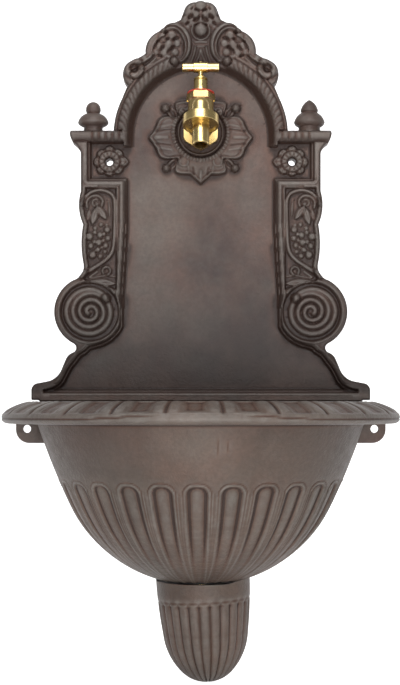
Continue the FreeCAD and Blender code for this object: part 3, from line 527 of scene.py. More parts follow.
def carveCrest(board, outline):
    x, z = board.x, board.z
    edge = rimDistance(board, outline, 12)
    r = np.hypot(x, np.maximum(z - plate["archZ"], 0))
    above = (r > plate["archOutR"] - 0.2) & (z > 318)
    crest = ease(r - plate["archOutR"] + 0.2, 1.2) * above
    board.level(crest, plate["crestU"])
    # smooth band along the silhouette of the two shoulders, with a line on its inner side
    shoulder = above & (x > 38) & (z < 399)
    board.h += 3 * hump(edge - 3.6, 4.4) ** 0.5 * shoulder
    board.h += 0.9 * hump(edge - 6.9, 1) * shoulder
    board.bead(curveThrough([(50.4, 371), (57.6, 364.4), (65.6, 359.6)]), 1.7, 2.4)
    board.bead(curveThrough([(48, 366.4), (56, 359.4), (63, 354.6)]), 1.5, 1.8)
    # rough leaf in the shoulder panel: lumps and lobes with dark pits between them
    for lump in ((31.4, 391.6, 5.6, 3), (40.6, 388.4, 5.2, 2.8), (25.4, 382.6, 4.4, 2.4), (35, 381.4, 6, 3.4),
            (44.8, 380.2, 4.8, 2.6), (27.6, 373, 4.6, 2.8), (38.6, 372.6, 5.4, 2.8), (48.2, 373.4, 4, 2),
            (33, 366.6, 3.6, 1.8)):
        board.ball(*lump, 0.7)
    for x0, z0, x1, z1, width in ((24.6, 389, 28.6, 387.2, 2), (35.2, 387.6, 38.8, 383.6, 1.8),
            (29.4, 379, 31.8, 376.2, 2.1), (40.2, 379.8, 42.4, 376.4, 1.9), (34.4, 374.8, 35.2, 372.4, 1.6),
            (36, 394.4, 39, 393.2, 1.4), (46.4, 384.6, 48.2, 379.6, 1.3), (42.4, 369.2, 45.2, 369.8, 1.5)):
        board.bead([(x0, z0), (x1, z1)], width, -2.1)
    board.stainAndShade(ease(board.inside([(24, 392), (37, 397), (50, 384), (55, 370), (30, 366), (22, 372)], 6), 3),
            0.18)
    # C scroll: a broad band with a groove, from the shoulder down over the arch to its ball
    scroll = curveThrough([(39.7, 396.2), (35.4, 399.6), (30.4, 401), (24.4, 399.8), (18.6, 394.8),
            (14.6, 387), (13.6, 378.4), (15.4, 370.6), (19.6, 365), (24.6, 362.4)])
    board.bead(scroll[:-6], 4.7, 4.2, 0.5, (0.75, 1, 0.55))
    board.bead([(x + 1, z - 0.4) for x, z in scroll[4:-8]], 1.2, -2.4)
    board.knob(28.2, 362.9, 5.2, 18.5, 8)
    board.stainAndShade(shoulder * ease(edge - 0.5, 2) * ease(6.4 - edge, 1.5), 0.20)
    # eyes at the feet of the crest
    board.bead(arcOf(71.2, 355.6, 7.6, 0, 360), 3.8, 4.4, 0.6)
    board.ball(71.2, 355.6, 3.8, -1.4, 1)
    board.ball(60.4, 366.4, 3, 1.8)
    # cap: a rough leaf with pits; below it the boss in its ring
    board.level(ease(z - 402, 14) * ease(edge, 2.5) * (x < 26), plate["crestU"] + 3.4)
    for lump in ((0, 423, 6, 2.6), (12.4, 416.4, 6.6, 2.6), (5.4, 412.6, 4.4, 2.4), (17.6, 407.6, 4.6, 1.6),
            (0, 406, 3.8, 1.8), (9.8, 405, 4.2, 2), (14.6, 400.4, 3.4, 1.4)):
        board.ball(*lump, 0.6)
    for x0, z0, x1, z1, width in ((2.4, 417, 5, 418.2, 1.7), (9.8, 411.6, 12, 410, 2.2),
            (1.6, 411, 2.6, 408.6, 1.5), (5.6, 408.4, 7.2, 406.6, 1.6), (13.6, 404.8, 15.4, 402.8, 1.5),
            (8.6, 420, 9.8, 418, 1.3), (17.6, 412.6, 18.6, 410.6, 1.2), (4.8, 402.6, 7, 402, 1.3)):
        board.bead([(x0, z0), (x1, z1)], width, -2)
    board.stainAndShade(ease(z - 400, 6) * (x < 26), 0.22)
    board.bead(arcOf(0, 395.8, 9.6, 0, 360), 1.4, 2.4)
    board.ball(0, 396.6, 7.3, 6.6, 0.5)
    # ledge, pointed arch and side ridges below the boss
    board.bead([(0, 384), (6.6, 384)], 1.2, 1.5)
    board.bead([(0, 379.4), (5.4, 379.4)], 0.9, 1.4)
    board.bead([(0, 375.6), (4.6, 362.2)], 1.6, 2.6, 0.8)
    board.petal((0, 373), (0, 361), 2.6, 1.8, 0)
    board.bead(curveThrough([(5.6, 379.2), (7.2, 371), (10.4, 361.6)]), 1.4, 2.2)


def carvePlate():
    board = Relief(-1.5, 183, -1.5, 430.5, plate["step"])
    outline = plateOutline()
    carveBorder(board)
    carvePilaster(board, outline)
    carveVolute(board)
    carveScrewRosette(board)
    carveArch(board)
    carveCrest(board, outline)
    carveCornice(board)
    carveTapRosette(board)
    # painted shade on every steep flank and at its foot
    gradZ, gradX = np.gradient(board.h, plate["step"])
    flankShade = ease(np.hypot(gradX, gradZ) - 0.45, 1.5)
    for turn in range(2):
        flankShade = (flankShade + sum(np.roll(flankShade, way, axis) for way in (1, -1) for axis in (0, 1))) / 5
    board.stainAndShade(flankShade, 0.80)
    # painted shade along the outer edge of the plate, where it rounds away
    board.stainAndShade(ease(2.8 - rimDistance(board, outline, 9), 2.0), 0.62)
    return board, outline


def nearestOn(points, px, pz):
    # The nearest point of a closed line for each given point
    p = np.array(list(points) + [points[0]], float)
    (ax, az), (dx, dz) = p[:-1].T, (p[1:] - p[:-1]).T
    gx, gz = px[:, None] - ax, pz[:, None] - az
    t = np.clip((gx * dx + gz * dz) / np.maximum(dx ** 2 + dz ** 2, 1e-12), 0, 1)
    qx, qz = ax + t * dx, az + t * dz
    best = np.argmin((qx - px[:, None]) ** 2 + (qz - pz[:, None]) ** 2, axis=1)
    rows = np.arange(len(px))
    return qx[rows, best], qz[rows, best]


def wholePlate(board, outline):
    # Mirrors the carved right half and says how far each point lies inside the outline and the holes
    right = board.x[0] > 1e-6
    middle = int(np.argmin(np.abs(board.x[0])))

    def both(values, sign=1):
        return np.hstack([sign * values[:, right][:, ::-1], values[:, middle:middle + 1], values[:, right]])
    x = both(board.x, -1)
    z, sootAndShade, height, edge = (both(v) for v in (board.z, board.sootAndShade, board.h, rimDistance(board, outline, 9)))
    sx, sz, sr = plate["screw"]
    screws = np.hypot(np.abs(x) - sx, z - sz) - sr
    holes = np.minimum(screws, np.hypot(x, z - plate["tapZ"]) - plate["shankHoleR"])
    drop = plate["edgeRound"]
    near = np.clip(drop - edge, 0, drop)
    height = height - (drop - np.sqrt(np.maximum(drop ** 2 - near ** 2, 0)))
    return x, z, height, edge, holes, sootAndShade


def snapPoints(x, z, edge, holes, outline):
    # Points just outside move onto the outline or onto the rim of a hole
    x, z = x.copy(), z.copy()
    sd = np.minimum(edge, holes)
    inside = sd > 0
    near = np.zeros_like(inside)
    for dk in (-1, 0, 1):
        for di in (-1, 0, 1):
            near |= np.roll(np.roll(inside, dk, 0), di, 1)
    rim = near & ~inside
    byEdge = rim & (edge <= 0)
    closed = outline + [(-px, pz) for px, pz in outline[::-1]]
    x[byEdge], z[byEdge] = nearestOn(closed, x[byEdge], z[byEdge])
    sx, sz, sr = plate["screw"]
    for cx, cz, cr in ((sx, sz, sr), (-sx, sz, sr), (0, plate["tapZ"], plate["shankHoleR"])):
        d = np.hypot(x - cx, z - cz)
        byHole = rim & (edge > 0) & (d < cr + 0.01) & (d > 0)
        x[byHole] = cx + (x[byHole] - cx) * cr / d[byHole]
        z[byHole] = cz + (z[byHole] - cz) * cr / d[byHole]
    return x, z, inside, near


def sheetQuads(height, inside, near, block):
    # Fine squares where the plate is carved, large ones where it is flat
    rows, columns = height.shape
    index = np.arange(rows * columns).reshape(rows, columns)
    keep = squares(near).all(-1) & squares(inside).any(-1)
    big = []
    for k in range(0, rows - block, block):
        for i in range(0, columns - block, block):
            patch = slice(k, k + block + 1), slice(i, i + block + 1)
            if np.ptp(height[patch]) < plate["flat"] and inside[patch].all():
                keep[k:k + block, i:i + block] = False
                big.append(squares(index[patch][::block, ::block])[0, 0])
    return np.vstack([squares(index)[keep], big])


def openEdges(quads, inside):
    # The edges of the casting and its holes, without the joints between large and fine squares
    edges = np.vstack([quads[:, [k, (k + 1) % 4]] for k in range(4)])
    key = np.sort(edges, axis=1)
    _, first, count = np.unique(key, axis=0, return_index=True, return_counts=True)
    rim = edges[first[count == 1]]
    return rim[~inside[rim].any(axis=1)]


def plateSheet():
    board, outline = carvePlate()
    x, z, height, edge, holes, sootAndShade = wholePlate(board, outline)
    px, pz, inside, near = snapPoints(x, z, edge, holes, outline)
    quads = sheetQuads(height, inside, near, 4)
    gradZ, gradX = np.gradient(height, plate["step"])
    normals = np.stack([-gradX, -np.ones_like(gradX), -gradZ], axis=-1)
    normals /= np.linalg.norm(normals, axis=-1, keepdims=True)
    points = toFrame(px, height, pz).reshape(-1, 3)
    rim = openEdges(quads, inside.reshape(-1))
    return points, quads, rim, normals.reshape(-1, 3), sootAndShade.reshape(-1), px.reshape(-1), pz.reshape(-1)


def plateWalls(points, px, pz, rim):
    # The edge of the casting, from the carved front back to the wall
    used, where = np.unique(rim, return_inverse=True)
    where = where.reshape(rim.shape)
    front = points[used]
    count = len(used)
    back = front.copy()
    tap = np.hypot(px[used], pz[used] - plate["tapZ"]) < plate["shankHoleR"] + 1
    back[:, 1] = np.where(tap, -0.006, 0.0)
    faces = np.stack([where[:, 1], where[:, 0], where[:, 0] + count, where[:, 1] + count], axis=1)
    return np.vstack([front, back]), faces


def buildPlate():
    points, quads, rim, normals, sootAndShade, px, pz = plateSheet()
    print("plate carved:", len(quads), "squares")
    wallPoints, wallFaces = plateWalls(points, px, pz, rim)
    mx, mz = px[quads].mean(1), pz[quads].mean(1)
    upper, half = mz > plate["cutZ"], plate["cutX"]
    zones = {
        "plate_crest": upper,
        "plate_left": ~upper & (mx < -half),
        "plate_right": ~upper & (mx > half),
        "plate_field": ~upper & (np.abs(mx) <= half),
    }
    made = []
    for name, zone in zones.items():
        used, where = np.unique(quads[zone], return_inverse=True)
        replaces = ["back_plate"] if name == "plate_field" else ()
        obj = newPiece(name, points[used], where.reshape(-1, 4), replaces)
        obj.data.normals_split_custom_set_from_vertices(normals[used].tolist())
        paint(obj, "sootAndShade", sootAndShade[used])
        made.append(obj)
    obj = newPiece("plate_walls", wallPoints, wallFaces)
    # painted shade: the casting's side walls are darkened evenly
    paint(obj, "sootAndShade", np.full(len(wallPoints), plate["wallShade"]))
    return made + [obj, buildPlateRear()]


def buildPlateRear():
    # The hollow back, about 6 mm behind the front
    outline = plateOutline()
    board = Relief(-4, 184, -2, 430, 2.0)
    vx, vz, _ = plate["volute"]
    hollow = board.inside(drawn((-20, 19), [(138.5, 19), (120.6, 41), (75, 61), (71, 136), (64.6, 283.5),
            (0, 348.1, -17), (-20, 347)]), 6)
    board.level(ease(hollow / 2.5 + 0.5), 8.0)
    side = board.inside([(90, 147), (116.9, 147), (116.9, 226), (90, 226)], 6)
    side = np.maximum(side, 29 - np.hypot(board.x - vx, board.z - vz))
    board.level(ease(side / 2.5 + 0.5), 13.0)
    sx, sz, _ = plate["screw"]
    board.level(ease((12 - np.hypot(board.x - sx, board.z - sz)) / 2.5 + 0.5), 0.0)
    x, z, height, edge, holes, _ = wholePlate(board, outline)
    height = np.maximum(height, 0)
    height = np.where(edge < 1.6, 0.0, height)
    px, pz, inside, near = snapPoints(x, z, edge, holes, outline)
    quads = sheetQuads(height, inside, near, 1)[:, ::-1]
    used, where = np.unique(quads, return_inverse=True)
    points = toFrame(px, height, pz).reshape(-1, 3)[used]
    return newPiece("plate_rear", points, where.reshape(-1, 4))


finial = {
    "u": 10.0, "baseZ": 288.9, "sides": 56,
    # radius and height of the profile's points, and the bulge where an arc leads there
    "finial_left": {"x": -115.3, "sootAndShade": 0.20, "profile": [
        (10.6, 0), (10.2, 1.6, 0.2), (10.0, 4.6), (11.4, 6.4, 0.4), (16, 9.5, -0.5), (16.4, 10.6),
        (16.1, 11.6), (6.8, 20.2, -1.8), (6.8, 20.8), (7.9, 25, -0.5), (1, 32.8, -2)]},
    "finial_right": {"x": 116.5, "sootAndShade": 0.42, "profile": [
        (11.9, 0), (11.6, 2), (11.5, 4.6), (12.4, 6.2, 0.3), (16, 9.5, -0.5), (16.5, 10.8), (16.2, 11.9),
        (8.7, 21, -1.2), (8.5, 21.8), (9.3, 24.2, -0.4), (0.6, 35, -1.5)]},
}


def buildFinials():
    # Turned knobs on the cornices, cut off at the wall
    made = []
    turns = np.arange(finial["sides"]) * 2 * math.pi / finial["sides"]
    for name in ("finial_left", "finial_right"):
        form, shell, rings = finial[name], Shell(), []
        for r, h in drawn(form["profile"][0], form["profile"][1:], 8):
            rings.append(shell.ring([(form["x"] + r * math.cos(a), max(finial["u"] - r * math.sin(a), 0),
                    finial["baseZ"] + h) for a in turns]))
        for low, high in zip(rings, rings[1:]):
            shell.join(low, high)
        shell.cap(rings[0], True)
        shell.cap(rings[-1])
        obj = shell.piece(name, smooth=True)
        paint(obj, "sootAndShade", np.full(len(shell.points), form["sootAndShade"]))
        made.append(obj)
    return made


basin = {
    "centreU": 20.0,
    "columns": 330,
    "flutes": 13.7,        # degrees from one flute to the next
    "firstFlute": -1.4,
    "fluteTop": -82.5,
    "fluteShare": 0.35,    # half width of a flute as a share of the spacing
    "fluteDepth": 2.7,
    "tongues": 14.9,       # degrees from one pair of tongues on the rim to the next
    "firstGroove": 5.8,
    "rimR": 179.0,         # where the rim's top begins
    "backWall": 7.0,
    "floorOut": (46.0, -188.0),    # radius and height of the floor, outside and inside
    "floorIn": (42.0, -182.0),
    "ledgeX": 174.5,
}


def halfRound(profile, columns, shift=None):
    # Sweeps a profile of (r, z) half way round the basin's axis and straight back to the wall
    profile = np.array(profile)
    r, z = profile.T
    tangent = np.gradient(profile, axis=0)
    tangent /= np.maximum(np.linalg.norm(tangent, axis=1, keepdims=True), 1e-9)
    outR, outZ = tangent[:, 1], -tangent[:, 0]
    degrees, _ = np.meshgrid(np.linspace(-90, 90, columns), r)
    off = shift(degrees, r[:, None], z[:, None]) if shift else np.zeros_like(degrees)
    rr = np.maximum(r[:, None] + off * outR[:, None], 0)
    zz = z[:, None] + off * outZ[:, None]
    a = np.radians(degrees)
    x, u = rr * np.sin(a), basin["centreU"] + rr * np.cos(a)
    sides = (0, 0), (1, 1)
    return np.pad(x, sides, "edge"), np.pad(u, sides), np.pad(zz, sides, "edge")


def offCentre(degrees, first, period):
    # Degrees from the middle of the nearest repeat
    return (degrees - first + period / 2) % period - period / 2


def basinShift(degrees, r, z):
    # How far the bowl's flutes and the rim's tongues stand out of the plain form
    period, first = basin["flutes"], basin["firstFlute"]
    side = np.radians(offCentre(degrees, first, period)) * r
    half = basin["fluteShare"] * np.radians(period) * r
    down = np.maximum(z - basin["fluteTop"] + half, 0)
    d = (np.abs(side) ** 2.5 + down ** 2.5) ** 0.4 - half
    bowl = (r > 44) & (z < -30) & (r < 176)
    fade = (0.25 + 0.75 * ease(z + 172, 54)) * (1 - 0.35 * ease(-degrees - 14, 30))
    fade = fade * ease(-z - 60, 12) * bowl * (1 - ease(np.abs(degrees) - 80, 6))
    out = -basin["fluteDepth"] * ease(-d, 3.4) ** 0.8 + 1.5 * hump(side, 0.64 * half) * ease(-d, 4)
    # a lip round each flute and two ribs between neighbours
    out = out + 0.9 * hump(d - 0.6) - 0.6 * hump(d - 2.4)
    mid = np.radians(offCentre(degrees, first + period / 2, period)) * r
    gap = np.radians(period) * r / 2 - half
    for place in (-0.34, 0.34):
        out = out + 0.8 * hump(mid - place * gap, 1.1) * ease(-z - 88, 8)
    out = out * fade
    # two small runs in the casting under the rim
    for x, long in ((16.5, 11.0), (26.0, 8.0)):
        run = hump(np.abs(r * np.sin(np.radians(degrees)) - x), 1.6) * hump(z + 44, long)
        out = out - 0.5 * run * bowl * (np.abs(degrees) < 30)
    # tongues on the rim: soft pairs with a groove between them, and sunk panels from pair to pair
    side = np.abs(np.radians(offCentre(degrees, basin["firstGroove"], basin["tongues"])) * r)
    aside = ease(np.abs(degrees) - 6, 30)
    t = (r - basin["rimR"]) / 30.9 + np.maximum(-12.5 - z, 0) / 30
    ends = ease(1.0 + 0.14 * aside - t, 0.16) * ease(t, 0.12)
    groove = -1.1 * hump(side, 1.7 + 1.2 * t)
    away = np.radians(basin["tongues"]) * r / 2 - side
    panel = -1.5 * ease(12.4 - away, 7) * ease(0.9 + 0.14 * aside - t, 0.2)
    lobe = hump(side - 6.6, 6.6) * ease(1.0 - t, 0.2)
    out = out + (groove + panel + lobe) * ends * (r > basin["rimR"] - 0.5) * (z > -18)
    # the line between the rim's top and its lip, which sinks towards the sides
    lipLine = hump(z + 12.8 + 4.8 * aside, 1.2) * (r > 202) * (z < -11)
    return out - (0.8 + 0.5 * aside) * lipLine


def dense(points, gap):
    # Puts more points on a line, no further apart than gap
    out = [points[0]]
    for a, b in zip(points[:-1], points[1:]):
        n = max(1, int(math.ceil(math.hypot(b[0] - a[0], b[1] - a[1]) / gap)))
        out += [(a[0] + (b[0] - a[0]) * k / n, a[1] + (b[1] - a[1]) * k / n) for k in range(1, n + 1)]
    return out


def buildBasin():
    outer = drawn(basin["floorOut"], [(139, -108.5, -13), (173.5, -22.3, -1.5), (201.5, -22.3),
            (211.5, -17.7, -2.2), (209.9, -12.5), (179, 0, -2), (174, 0)], 16)
    inner = drawn((174, 0), [(174, -3), (167.5, -22.3, 1), (133.4, -110.5, 1.5),
            (*basin["floorIn"], 12.6)], 14)
    outer = halfRound(dense(outer, 1.9), basin["columns"], basinShift)
    x, u, z = halfRound(dense(inner, 5), 120)
    return [netPiece("basin_outside", *outer, ["basin"]),
            netPiece("basin_inside", x, np.maximum(u, basin["backWall"]), z),
            basinBack(outer, (x, u, z))]


def basinBack(outer, inner):
    # Flat back wall, the ledge under the plate, the two lugs and the floor, inside and out
    shell = Shell()
    for (x, _, z), u, flip in ((outer, 0.0, False), (inner, basin["backWall"], True)):
        low = z[:, 0] < 0.01
        sides = [shell.ring([(side * a, u, b) for a, b in zip(x[low, 0], z[low, 0])]) for side in (1, -1)]
        shell.join(*sides, flip, closed=False)
    section = [(0.2, -7), (24.8, -7), (26, -5.8), (26, -1.2), (24.8, 0), (0.2, 0)]
    ends = [shell.ring([(x, u, z) for u, z in section]) for x in (-basin["ledgeX"], basin["ledgeX"])]
    shell.join(*ends)
    shell.cap(ends[0], True)
    shell.cap(ends[1])
    for side in (-1, 1):
        addLug(shell, side)
    for (r, z), flip in ((basin["floorOut"], False), (basin["floorIn"], True)):
        turns = np.radians(np.arange(-90, 91, 5))
        ring = [(r * math.sin(a), basin["centreU"] + r * math.cos(a), z) for a in turns]
        shell.cap(shell.ring([(-r, 0, z)] + ring + [(r, 0, z)]), flip)
    return shell.piece("basin_back")


lug = {
    "outX": 199.0, "inX": 163.0, "top": -20.5, "low": -44.3, "corner": 14.5, "thick": 6.0,
    "hole": (187.0, -29.0, 4.3),       # x, z and radius
}


def addLug(shell, side):
    # A flat ear with a round hole, its edges a little rounded
    hx, hz, hr = lug["hole"]
    outX, low, corner, thick = lug["outX"], lug["low"], lug["corner"], lug["thick"]
    outline = drawn((lug["inX"], low), [(outX - corner, low), (outX, low + corner, -0.293 * corner),
            (outX, lug["top"]), (lug["inX"], lug["top"]), (lug["inX"], low)], 10)
    # the same directions from the hole's middle give the points of the hole and of the outline
    turns = {round(math.atan2(z - hz, x - hx), 4) for x, z in outline}
    turns |= {round(math.radians(a), 4) for a in range(-176, 181, 11)}
    hole, far = [], []
    for turn in sorted(turns):
        ux, uz = math.cos(turn), math.sin(turn)
        hole.append((hr * ux, hr * uz))
        reach = 0
        for (ax, az), (bx, bz) in zip(outline[:-1], outline[1:]):
            cross = ux * (bz - az) - uz * (bx - ax)
            if abs(cross) < 1e-9:
                continue
            distance = ((ax - hx) * (bz - az) - (az - hz) * (bx - ax)) / cross
            share = ((ax - hx) * uz - (az - hz) * ux) / cross
            if distance > 0 and -0.001 <= share <= 1.001:
                reach = max(reach, distance)
        far.append((reach * ux, reach * uz))
    rings = []
    for ring, grow, u in ((hole, 1, 0.4), (hole, 1, thick - 0.6), (hole, 1.13, thick), (far, 0.965, thick),
            (far, 1, thick - 0.7), (far, 1, 0.0)):
        rings.append(shell.ring([(side * (hx + a * grow), u, hz + b * grow) for a, b in ring]))
    for first, second in zip(rings, rings[1:] + rings[:1]):
        shell.join(first, second, side < 0)


console = {
    "shift": 2.3,          # to the right, in mm
    "lean": 2.9,           # degrees, about this height
    "leanZ": -188.0,
    "topZ": -189.8,
    "radius": 50.0,
    "rise": 108.3,
    "wall": 5.0,
    "columns": 200,
    "reeds": 13.85,        # degrees from one reed to the next
    "reedDepth": 2.7,
    "bandZ": -210.0,
    "sideRise": 4.6,       # how much higher the top edge is on the right
    "webs": (-191.0, -195.0),
}


def consoleShift(degrees, r, z):
    period = console["reeds"]
    turn = np.abs(offCentre(degrees, 0, period)) / (period / 2)
    below = ease(console["bandZ"] - z, 3.0)
    strength = ease(r, 9)
    reed = -console["reedDepth"] * turn ** 2.2
    band = -0.5 * hump(z - console["bandZ"] - 0.6, 1.4)
    return (reed * below + band) * strength


def consoleForm(shrink, shift=None):
    top, r = console["topZ"], console["radius"]
    low = top - console["rise"] + shrink
    points = drawn((0.4, low), [(3, low), (r * 0.54 - shrink * 0.6, low + 11.17, -2.5),
            (r * 0.912 - shrink, low + 53.65 - shrink * 0.5, -4), (r - shrink, top, -0.9),
            (r - shrink, top + 6)], 14)
    x, u, z = halfRound(dense(points, 2.0), console["columns"], shift)
    lean = math.radians(console["lean"])
    dz = z - console["leanZ"]
    z = console["leanZ"] + x * math.sin(lean) + dz * math.cos(lean)
    x = x * math.cos(lean) - dz * math.sin(lean) + console["shift"]
    # the top edge rises on the right to follow the bowl
    return x, u, np.minimum(z, top + console["sideRise"] * ease(x - 24, 26))


def buildConsole():
    x, u, z = consoleForm(0, consoleShift)
    ix, iu, iz = consoleForm(console["wall"])
    made = [netPiece("console_outside", x, u, z, ["console"]),
            netPiece("console_inside", ix, iu, np.minimum(iz, console["topZ"] - 6.4), flip=True)]
    # the flat edges at the wall and the webs under the bowl
    shell = Shell()
    rows = min(len(x), len(ix))
    for column in (0, -1):
        edges = []
        for ex, ez in ((x, z), (ix, iz)):
            pick = np.linspace(0, len(ex) - 1, rows).astype(int)
            edges.append(shell.ring([(ex[k, column], 0.0, ez[k, column]) for k in pick]))
        shell.join(*edges, closed=False)
    for level in console["webs"]:
        row = int(np.argmin(np.abs(z[:, 100] - level)))
        columns = (*range(0, x.shape[1], 4), x.shape[1] - 1)
        shell.cap(shell.ring([(x[row, c] * 0.985, max(u[row, c] - 0.8, 0), level) for c in columns]))
    return made + [shell.piece("console_edges")]


class Shades:
    # Short ways to add shader nodes
    def __init__(self, name):
        self.material = bpy.data.materials.new(name)
        self.material.use_nodes = True
        self.tree = self.material.node_tree
        self.coords = self.add("TexCoord", {}, "Object")

    def fill(self, socket, value):
        # A socket takes a number, a colour or a link from another node
        if isinstance(value, bpy.types.NodeSocket):
            self.tree.links.new(value, socket)
        else:
            socket.default_value = (*value, 1) if socket.type == "RGBA" else value

    def add(self, kind, sockets, out=0, **settings):
        node = self.tree.nodes.new("ShaderNode" + kind)
        for key, value in settings.items():
            setattr(node, key, value)
        for key, value in sockets.items():
            self.fill(node.inputs[key], value)
        return node.outputs[out]

    def noise(self, scale, detail=3.0, roughness=0.55, stretch=None):
        source = self.add("Mapping", {"Vector": self.coords, "Scale": stretch}) if stretch else self.coords
        return self.add("TexNoise", {"Vector": source, "Scale": scale, "Detail": detail,
                "Roughness": roughness}, "Fac")

    def span(self, value, low, high, toLow=0.0, toHigh=1.0):
        # Turns values from low to high into values from toLow to toHigh
        return self.add("MapRange", {"Value": value, "From Min": low, "From Max": high, "To Min": toLow,
                "To Max": toHigh})

    def maths(self, kind, a, b):
        return self.add("Math", {0: a, 1: b}, operation=kind)

    def mix(self, factor, a, b):
        # Sockets 6 and 7 take the two colours, and output 2 gives the mixed one
        return self.add("Mix", {0: factor, 6: a, 7: b}, 2, data_type="RGBA")

    def place(self, axis):
        return self.add("SeparateXYZ", {"Vector": self.coords}, axis)

    def attribute(self, name):
        return self.add("Attribute", {}, "Fac", attribute_name=name)

    def bump(self, height, distance, strength, after=None):
        sockets = {"Height": height, "Distance": distance, "Strength": strength}
        if after:
            sockets["Normal"] = after
        return self.add("Bump", sockets, "Normal")

    def put(self, **values):
        # Fills the main shader's sockets; an underscore stands for a space
        for name, value in values.items():
            self.fill(self.tree.nodes["Principled BSDF"].inputs[name.replace("_", " ")], value)


ironLook = {
    "dark": (0.050, 0.035, 0.031),
    "brown": (0.112, 0.073, 0.060),
    "grey": (0.122, 0.110, 0.102),
    "rust": (0.100, 0.044, 0.029),
    "ochre": (0.118, 0.088, 0.062),
    "bloom": (0.132, 0.124, 0.108),    # dry greyish patches
    "worn": (0.190, 0.176, 0.160),
    "black": (0.014, 0.010, 0.009),
    # the colour of soot and of painted shade
    "sootAndShade": (0.025, 0.0125, 0.009),
    "lowShade": 0.60,          # how much painted shade darkens the plate just above the basin
    "roughness": (0.42, 0.62),
    "metallic": 0.05,
    "specular": 0.30,
}


def castIron():
    s, look = Shades("cast iron"), ironLook
    x, y, z = (s.place(axis) for axis in "XYZ")
    patches = s.span(s.noise(11.0, 5.0, 0.62), 0.38, 0.60)
    speckle = s.span(s.noise(95.0, 4.0, 0.6), 0.42, 0.72)
    streak = s.span(s.noise(18.0, 4.0, 0.6, (1, 1, 0.35)), 0.42, 0.70)
    bloom = s.span(s.noise(6.5, 3.0, 0.55, (1, 1, 1.5)), 0.47, 0.66)
    pits = s.noise(260.0, 3.0, 0.6)
    relief = s.attribute("relief")
    worn = s.maths("MULTIPLY", s.span(relief, 0.08, 0.75), s.span(speckle, 0, 1, 0.55, 1.0))
    # the bowl is yellower than the plate; its plain band gets painted shade towards both sides
    bowl = s.span(y, -0.035, -0.055)
    band = s.maths("MULTIPLY", bowl, s.span(z, -0.350, -0.325))
    aside = s.span(s.maths("ABSOLUTE", s.maths("ADD", x, -0.02), 0), 0.03, 0.13, 0.0, 0.50)
    # painted shade: the plate above its plinth gets darker towards the basin
    onPlate = s.maths("MULTIPLY", s.span(y, -0.055, -0.035), s.span(z, -0.249, -0.244))
    colour = s.mix(patches, look["dark"], look["brown"])
    for mask, share, other in (
            (speckle, 0.35, "grey"), (streak, 0.36, "rust"), (bloom, 0.45, "bloom"),
            (bowl, 0.28, "ochre"), (band, aside, "dark"), (s.span(pits, 0.38, 0.62), 0.26, "dark"),
            # rust patina in shallow hollows; painted shade, nearly black, in the deepest ones
            (s.span(relief, -0.05, -0.7), 0.55, "rust"), (s.span(relief, -0.45, -1.0), 0.75, "black"),
            # wear on raised points; painted shade darkening the plate towards the basin
            (worn, 0.52, "worn"), (onPlate, s.span(z, -0.08, -0.20, 0.0, look["lowShade"]), "black")):
        colour = s.mix(s.maths("MULTIPLY", mask, share), colour, look[other])
    rough = s.maths("ADD", speckle, s.maths("MULTIPLY", worn, -0.6))
    # last, the map of soot and painted shade darkens the colour
    s.put(Base_Color=s.mix(s.attribute("sootAndShade"), colour, look["sootAndShade"]),
          Roughness=s.span(rough, -0.4, 1.0, *look["roughness"]),
          Normal=s.bump(s.noise(900.0, 2.0, 0.6), 0.0004, 0.6, s.bump(pits, 0.0014, 0.6)),
          Metallic=look["metallic"], Specular_IOR_Level=look["specular"])
    return s.material


brassLook = {"polished": (0.66, 0.50, 0.22), "tarnish": (0.54, 0.37, 0.13), "roughness": (0.26, 0.38)}


def polishedBrass():
    s = Shades("polished brass")
    cloud = s.span(s.noise(60.0, 4.0, 0.6), 0.45, 0.75)
    s.put(Base_Color=s.mix(s.maths("MULTIPLY", cloud, 0.45), brassLook["polished"], brassLook["tarnish"]),
          Roughness=s.span(cloud, 0, 1, *brassLook["roughness"]), Metallic=1.0,
          Normal=s.bump(s.noise(700.0, 2.0, 0.5, (1, 0.2, 1)), 0.00006, 0.5))
    return s.material


def simpleFinish(name, colourA, colourB, roughness, metallic=0.0, scale=120.0):
    s = Shades(name)
    cloud = s.span(s.noise(scale, 4.0, 0.6), 0.35, 0.7)
    s.put(Base_Color=s.mix(cloud, colourA, colourB), Metallic=metallic,
          Roughness=s.span(cloud, 0, 1, roughness - 0.05, roughness + 0.08),
          Normal=s.bump(s.noise(scale * 6, 2.0), 0.0001, 0.6))
    return s.material


def dressNodes(finishes):
    # Every solid of the frame gets the finish of its material slot
    for part in frame["record"]["subparts"]:
        materials = frame["nodes"][part["node"]].data.materials
        materials.clear()
        materials.append(finishes[part["material_slot"]])


studio = {
    "floorZ": -0.572,
    "bendY": 2.2,          # where the floor bends up into the backdrop
    "bendR": 1.6,
    "world": 0.24,
    "backdropGlow": 0.85,
    # name, place, the point it shines at, power, size
    "lights": (("key", (0.05, -1.80, -0.04), (0, 0, -0.05), 19.8, 1.5),
               ("top", (-0.05, -0.48, 0.62), (0, 0, 0.05), 4.8, 0.5),
               ("low", (0.03, -1.02, -0.50), (0, -0.15, -0.33), 5.4, 0.3)),
    "cameraAt": (0.0, -1.650, -0.263),
    "lens": 80.3,
    "shift": (-0.0011, 0.0956),
}


def paleFloor(colour, roughness):
    s = Shades("pale floor")
    s.put(Base_Color=s.mix(s.noise(6.0, 2.0), colour, tuple(c * 0.985 for c in colour)), Roughness=roughness,
          Emission_Color=(1.0, 1.0, 1.0),
          Emission_Strength=s.span(s.place("Y"), -0.05, 0.12, 0.0, studio["backdropGlow"]))
    return s.material


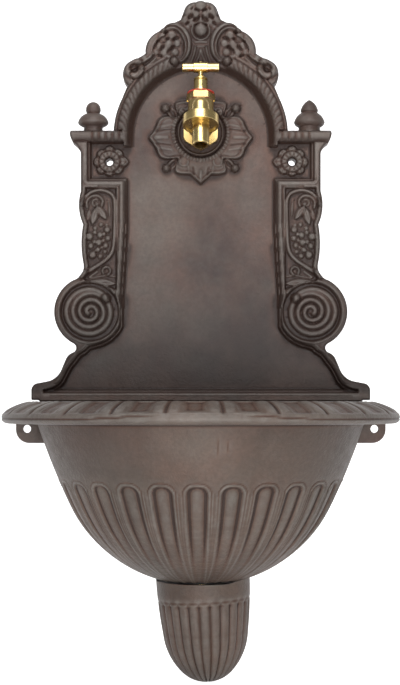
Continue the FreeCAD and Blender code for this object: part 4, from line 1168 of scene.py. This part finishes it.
def buildStudio():
    # Floor and backdrop in one sweep
    start, bend = studio["bendY"], studio["bendR"]
    profile = [(-6.0, 0.0), (start, 0.0)]
    profile += [(start + bend * math.sin(a), bend - bend * math.cos(a))
                for a in np.linspace(0.08, math.pi / 2, 20)]
    profile += [(start + bend, 7.0)]
    mesh = bpy.data.meshes.new("floor")
    mesh.from_pydata([(x, y, z + studio["floorZ"]) for y, z in profile for x in (-7.0, 7.0)], [],
                     [(2 * k, 2 * k + 1, 2 * k + 3, 2 * k + 2) for k in range(len(profile) - 1)])
    mesh.polygons.foreach_set("use_smooth", np.ones(len(mesh.polygons), bool))
    mesh.materials.append(paleFloor((0.93, 0.93, 0.93), 0.9))
    addToScene("floor", mesh)
    scene = bpy.context.scene
    scene.world = bpy.data.worlds.new("studio")
    scene.world.use_nodes = True
    background = scene.world.node_tree.nodes["Background"].inputs
    background["Color"].default_value = (1, 1, 1, 1)
    background["Strength"].default_value = studio["world"]
    scene.view_settings.view_transform = "Standard"
    for name, at, target, power, size in studio["lights"]:
        light = bpy.data.lights.new(name, "AREA")
        light.energy, light.size = power, size
        lamp = addToScene(name, light)
        lamp.location = at
        lamp.rotation_euler = (Vector(target) - Vector(at)).to_track_quat("-Z", "Y").to_euler()
    camera = bpy.data.cameras.new("camera")
    camera.lens, camera.sensor_width = studio["lens"], 36
    camera.shift_x, camera.shift_y = studio["shift"]
    scene.camera = addToScene("camera", camera)
    scene.camera.location = studio["cameraAt"]
    scene.camera.rotation_euler = (math.pi / 2, 0, 0)


finishes = {
    "cast_iron": castIron(),
    "brass": polishedBrass(),
    "red_plastic": simpleFinish("red ring", (0.46, 0.045, 0.03), (0.34, 0.025, 0.02), 0.22),
    "rubber": simpleFinish("black rubber", (0.02, 0.02, 0.02), (0.035, 0.035, 0.035), 0.7),
    "steel": simpleFinish("zinc-plated steel", (0.50, 0.51, 0.52), (0.34, 0.34, 0.34), 0.32, 1.0),
    "fibre": simpleFinish("pressed fibre", (0.28, 0.11, 0.07), (0.18, 0.07, 0.05), 0.75),
}
dressNodes(finishes)
print("finishes made")

# rounds of smoothing that give a point's surroundings, and the mm over them that count as fully worn
for label, build, rounds, height in (("plate", buildPlate, 30, 0.7), ("finials", buildFinials, 6, 0.6),
        ("basin", buildBasin, 14, 0.36), ("console", buildConsole, 10, 0.30)):
    for obj in build():
        if obj.name not in ("plate_rear", "basin_back", "console_edges"):
            markRelief(obj, rounds, height)
        obj.data.materials.append(finishes["cast_iron"])
    print(label, "built")
buildStudio()
print("studio built")
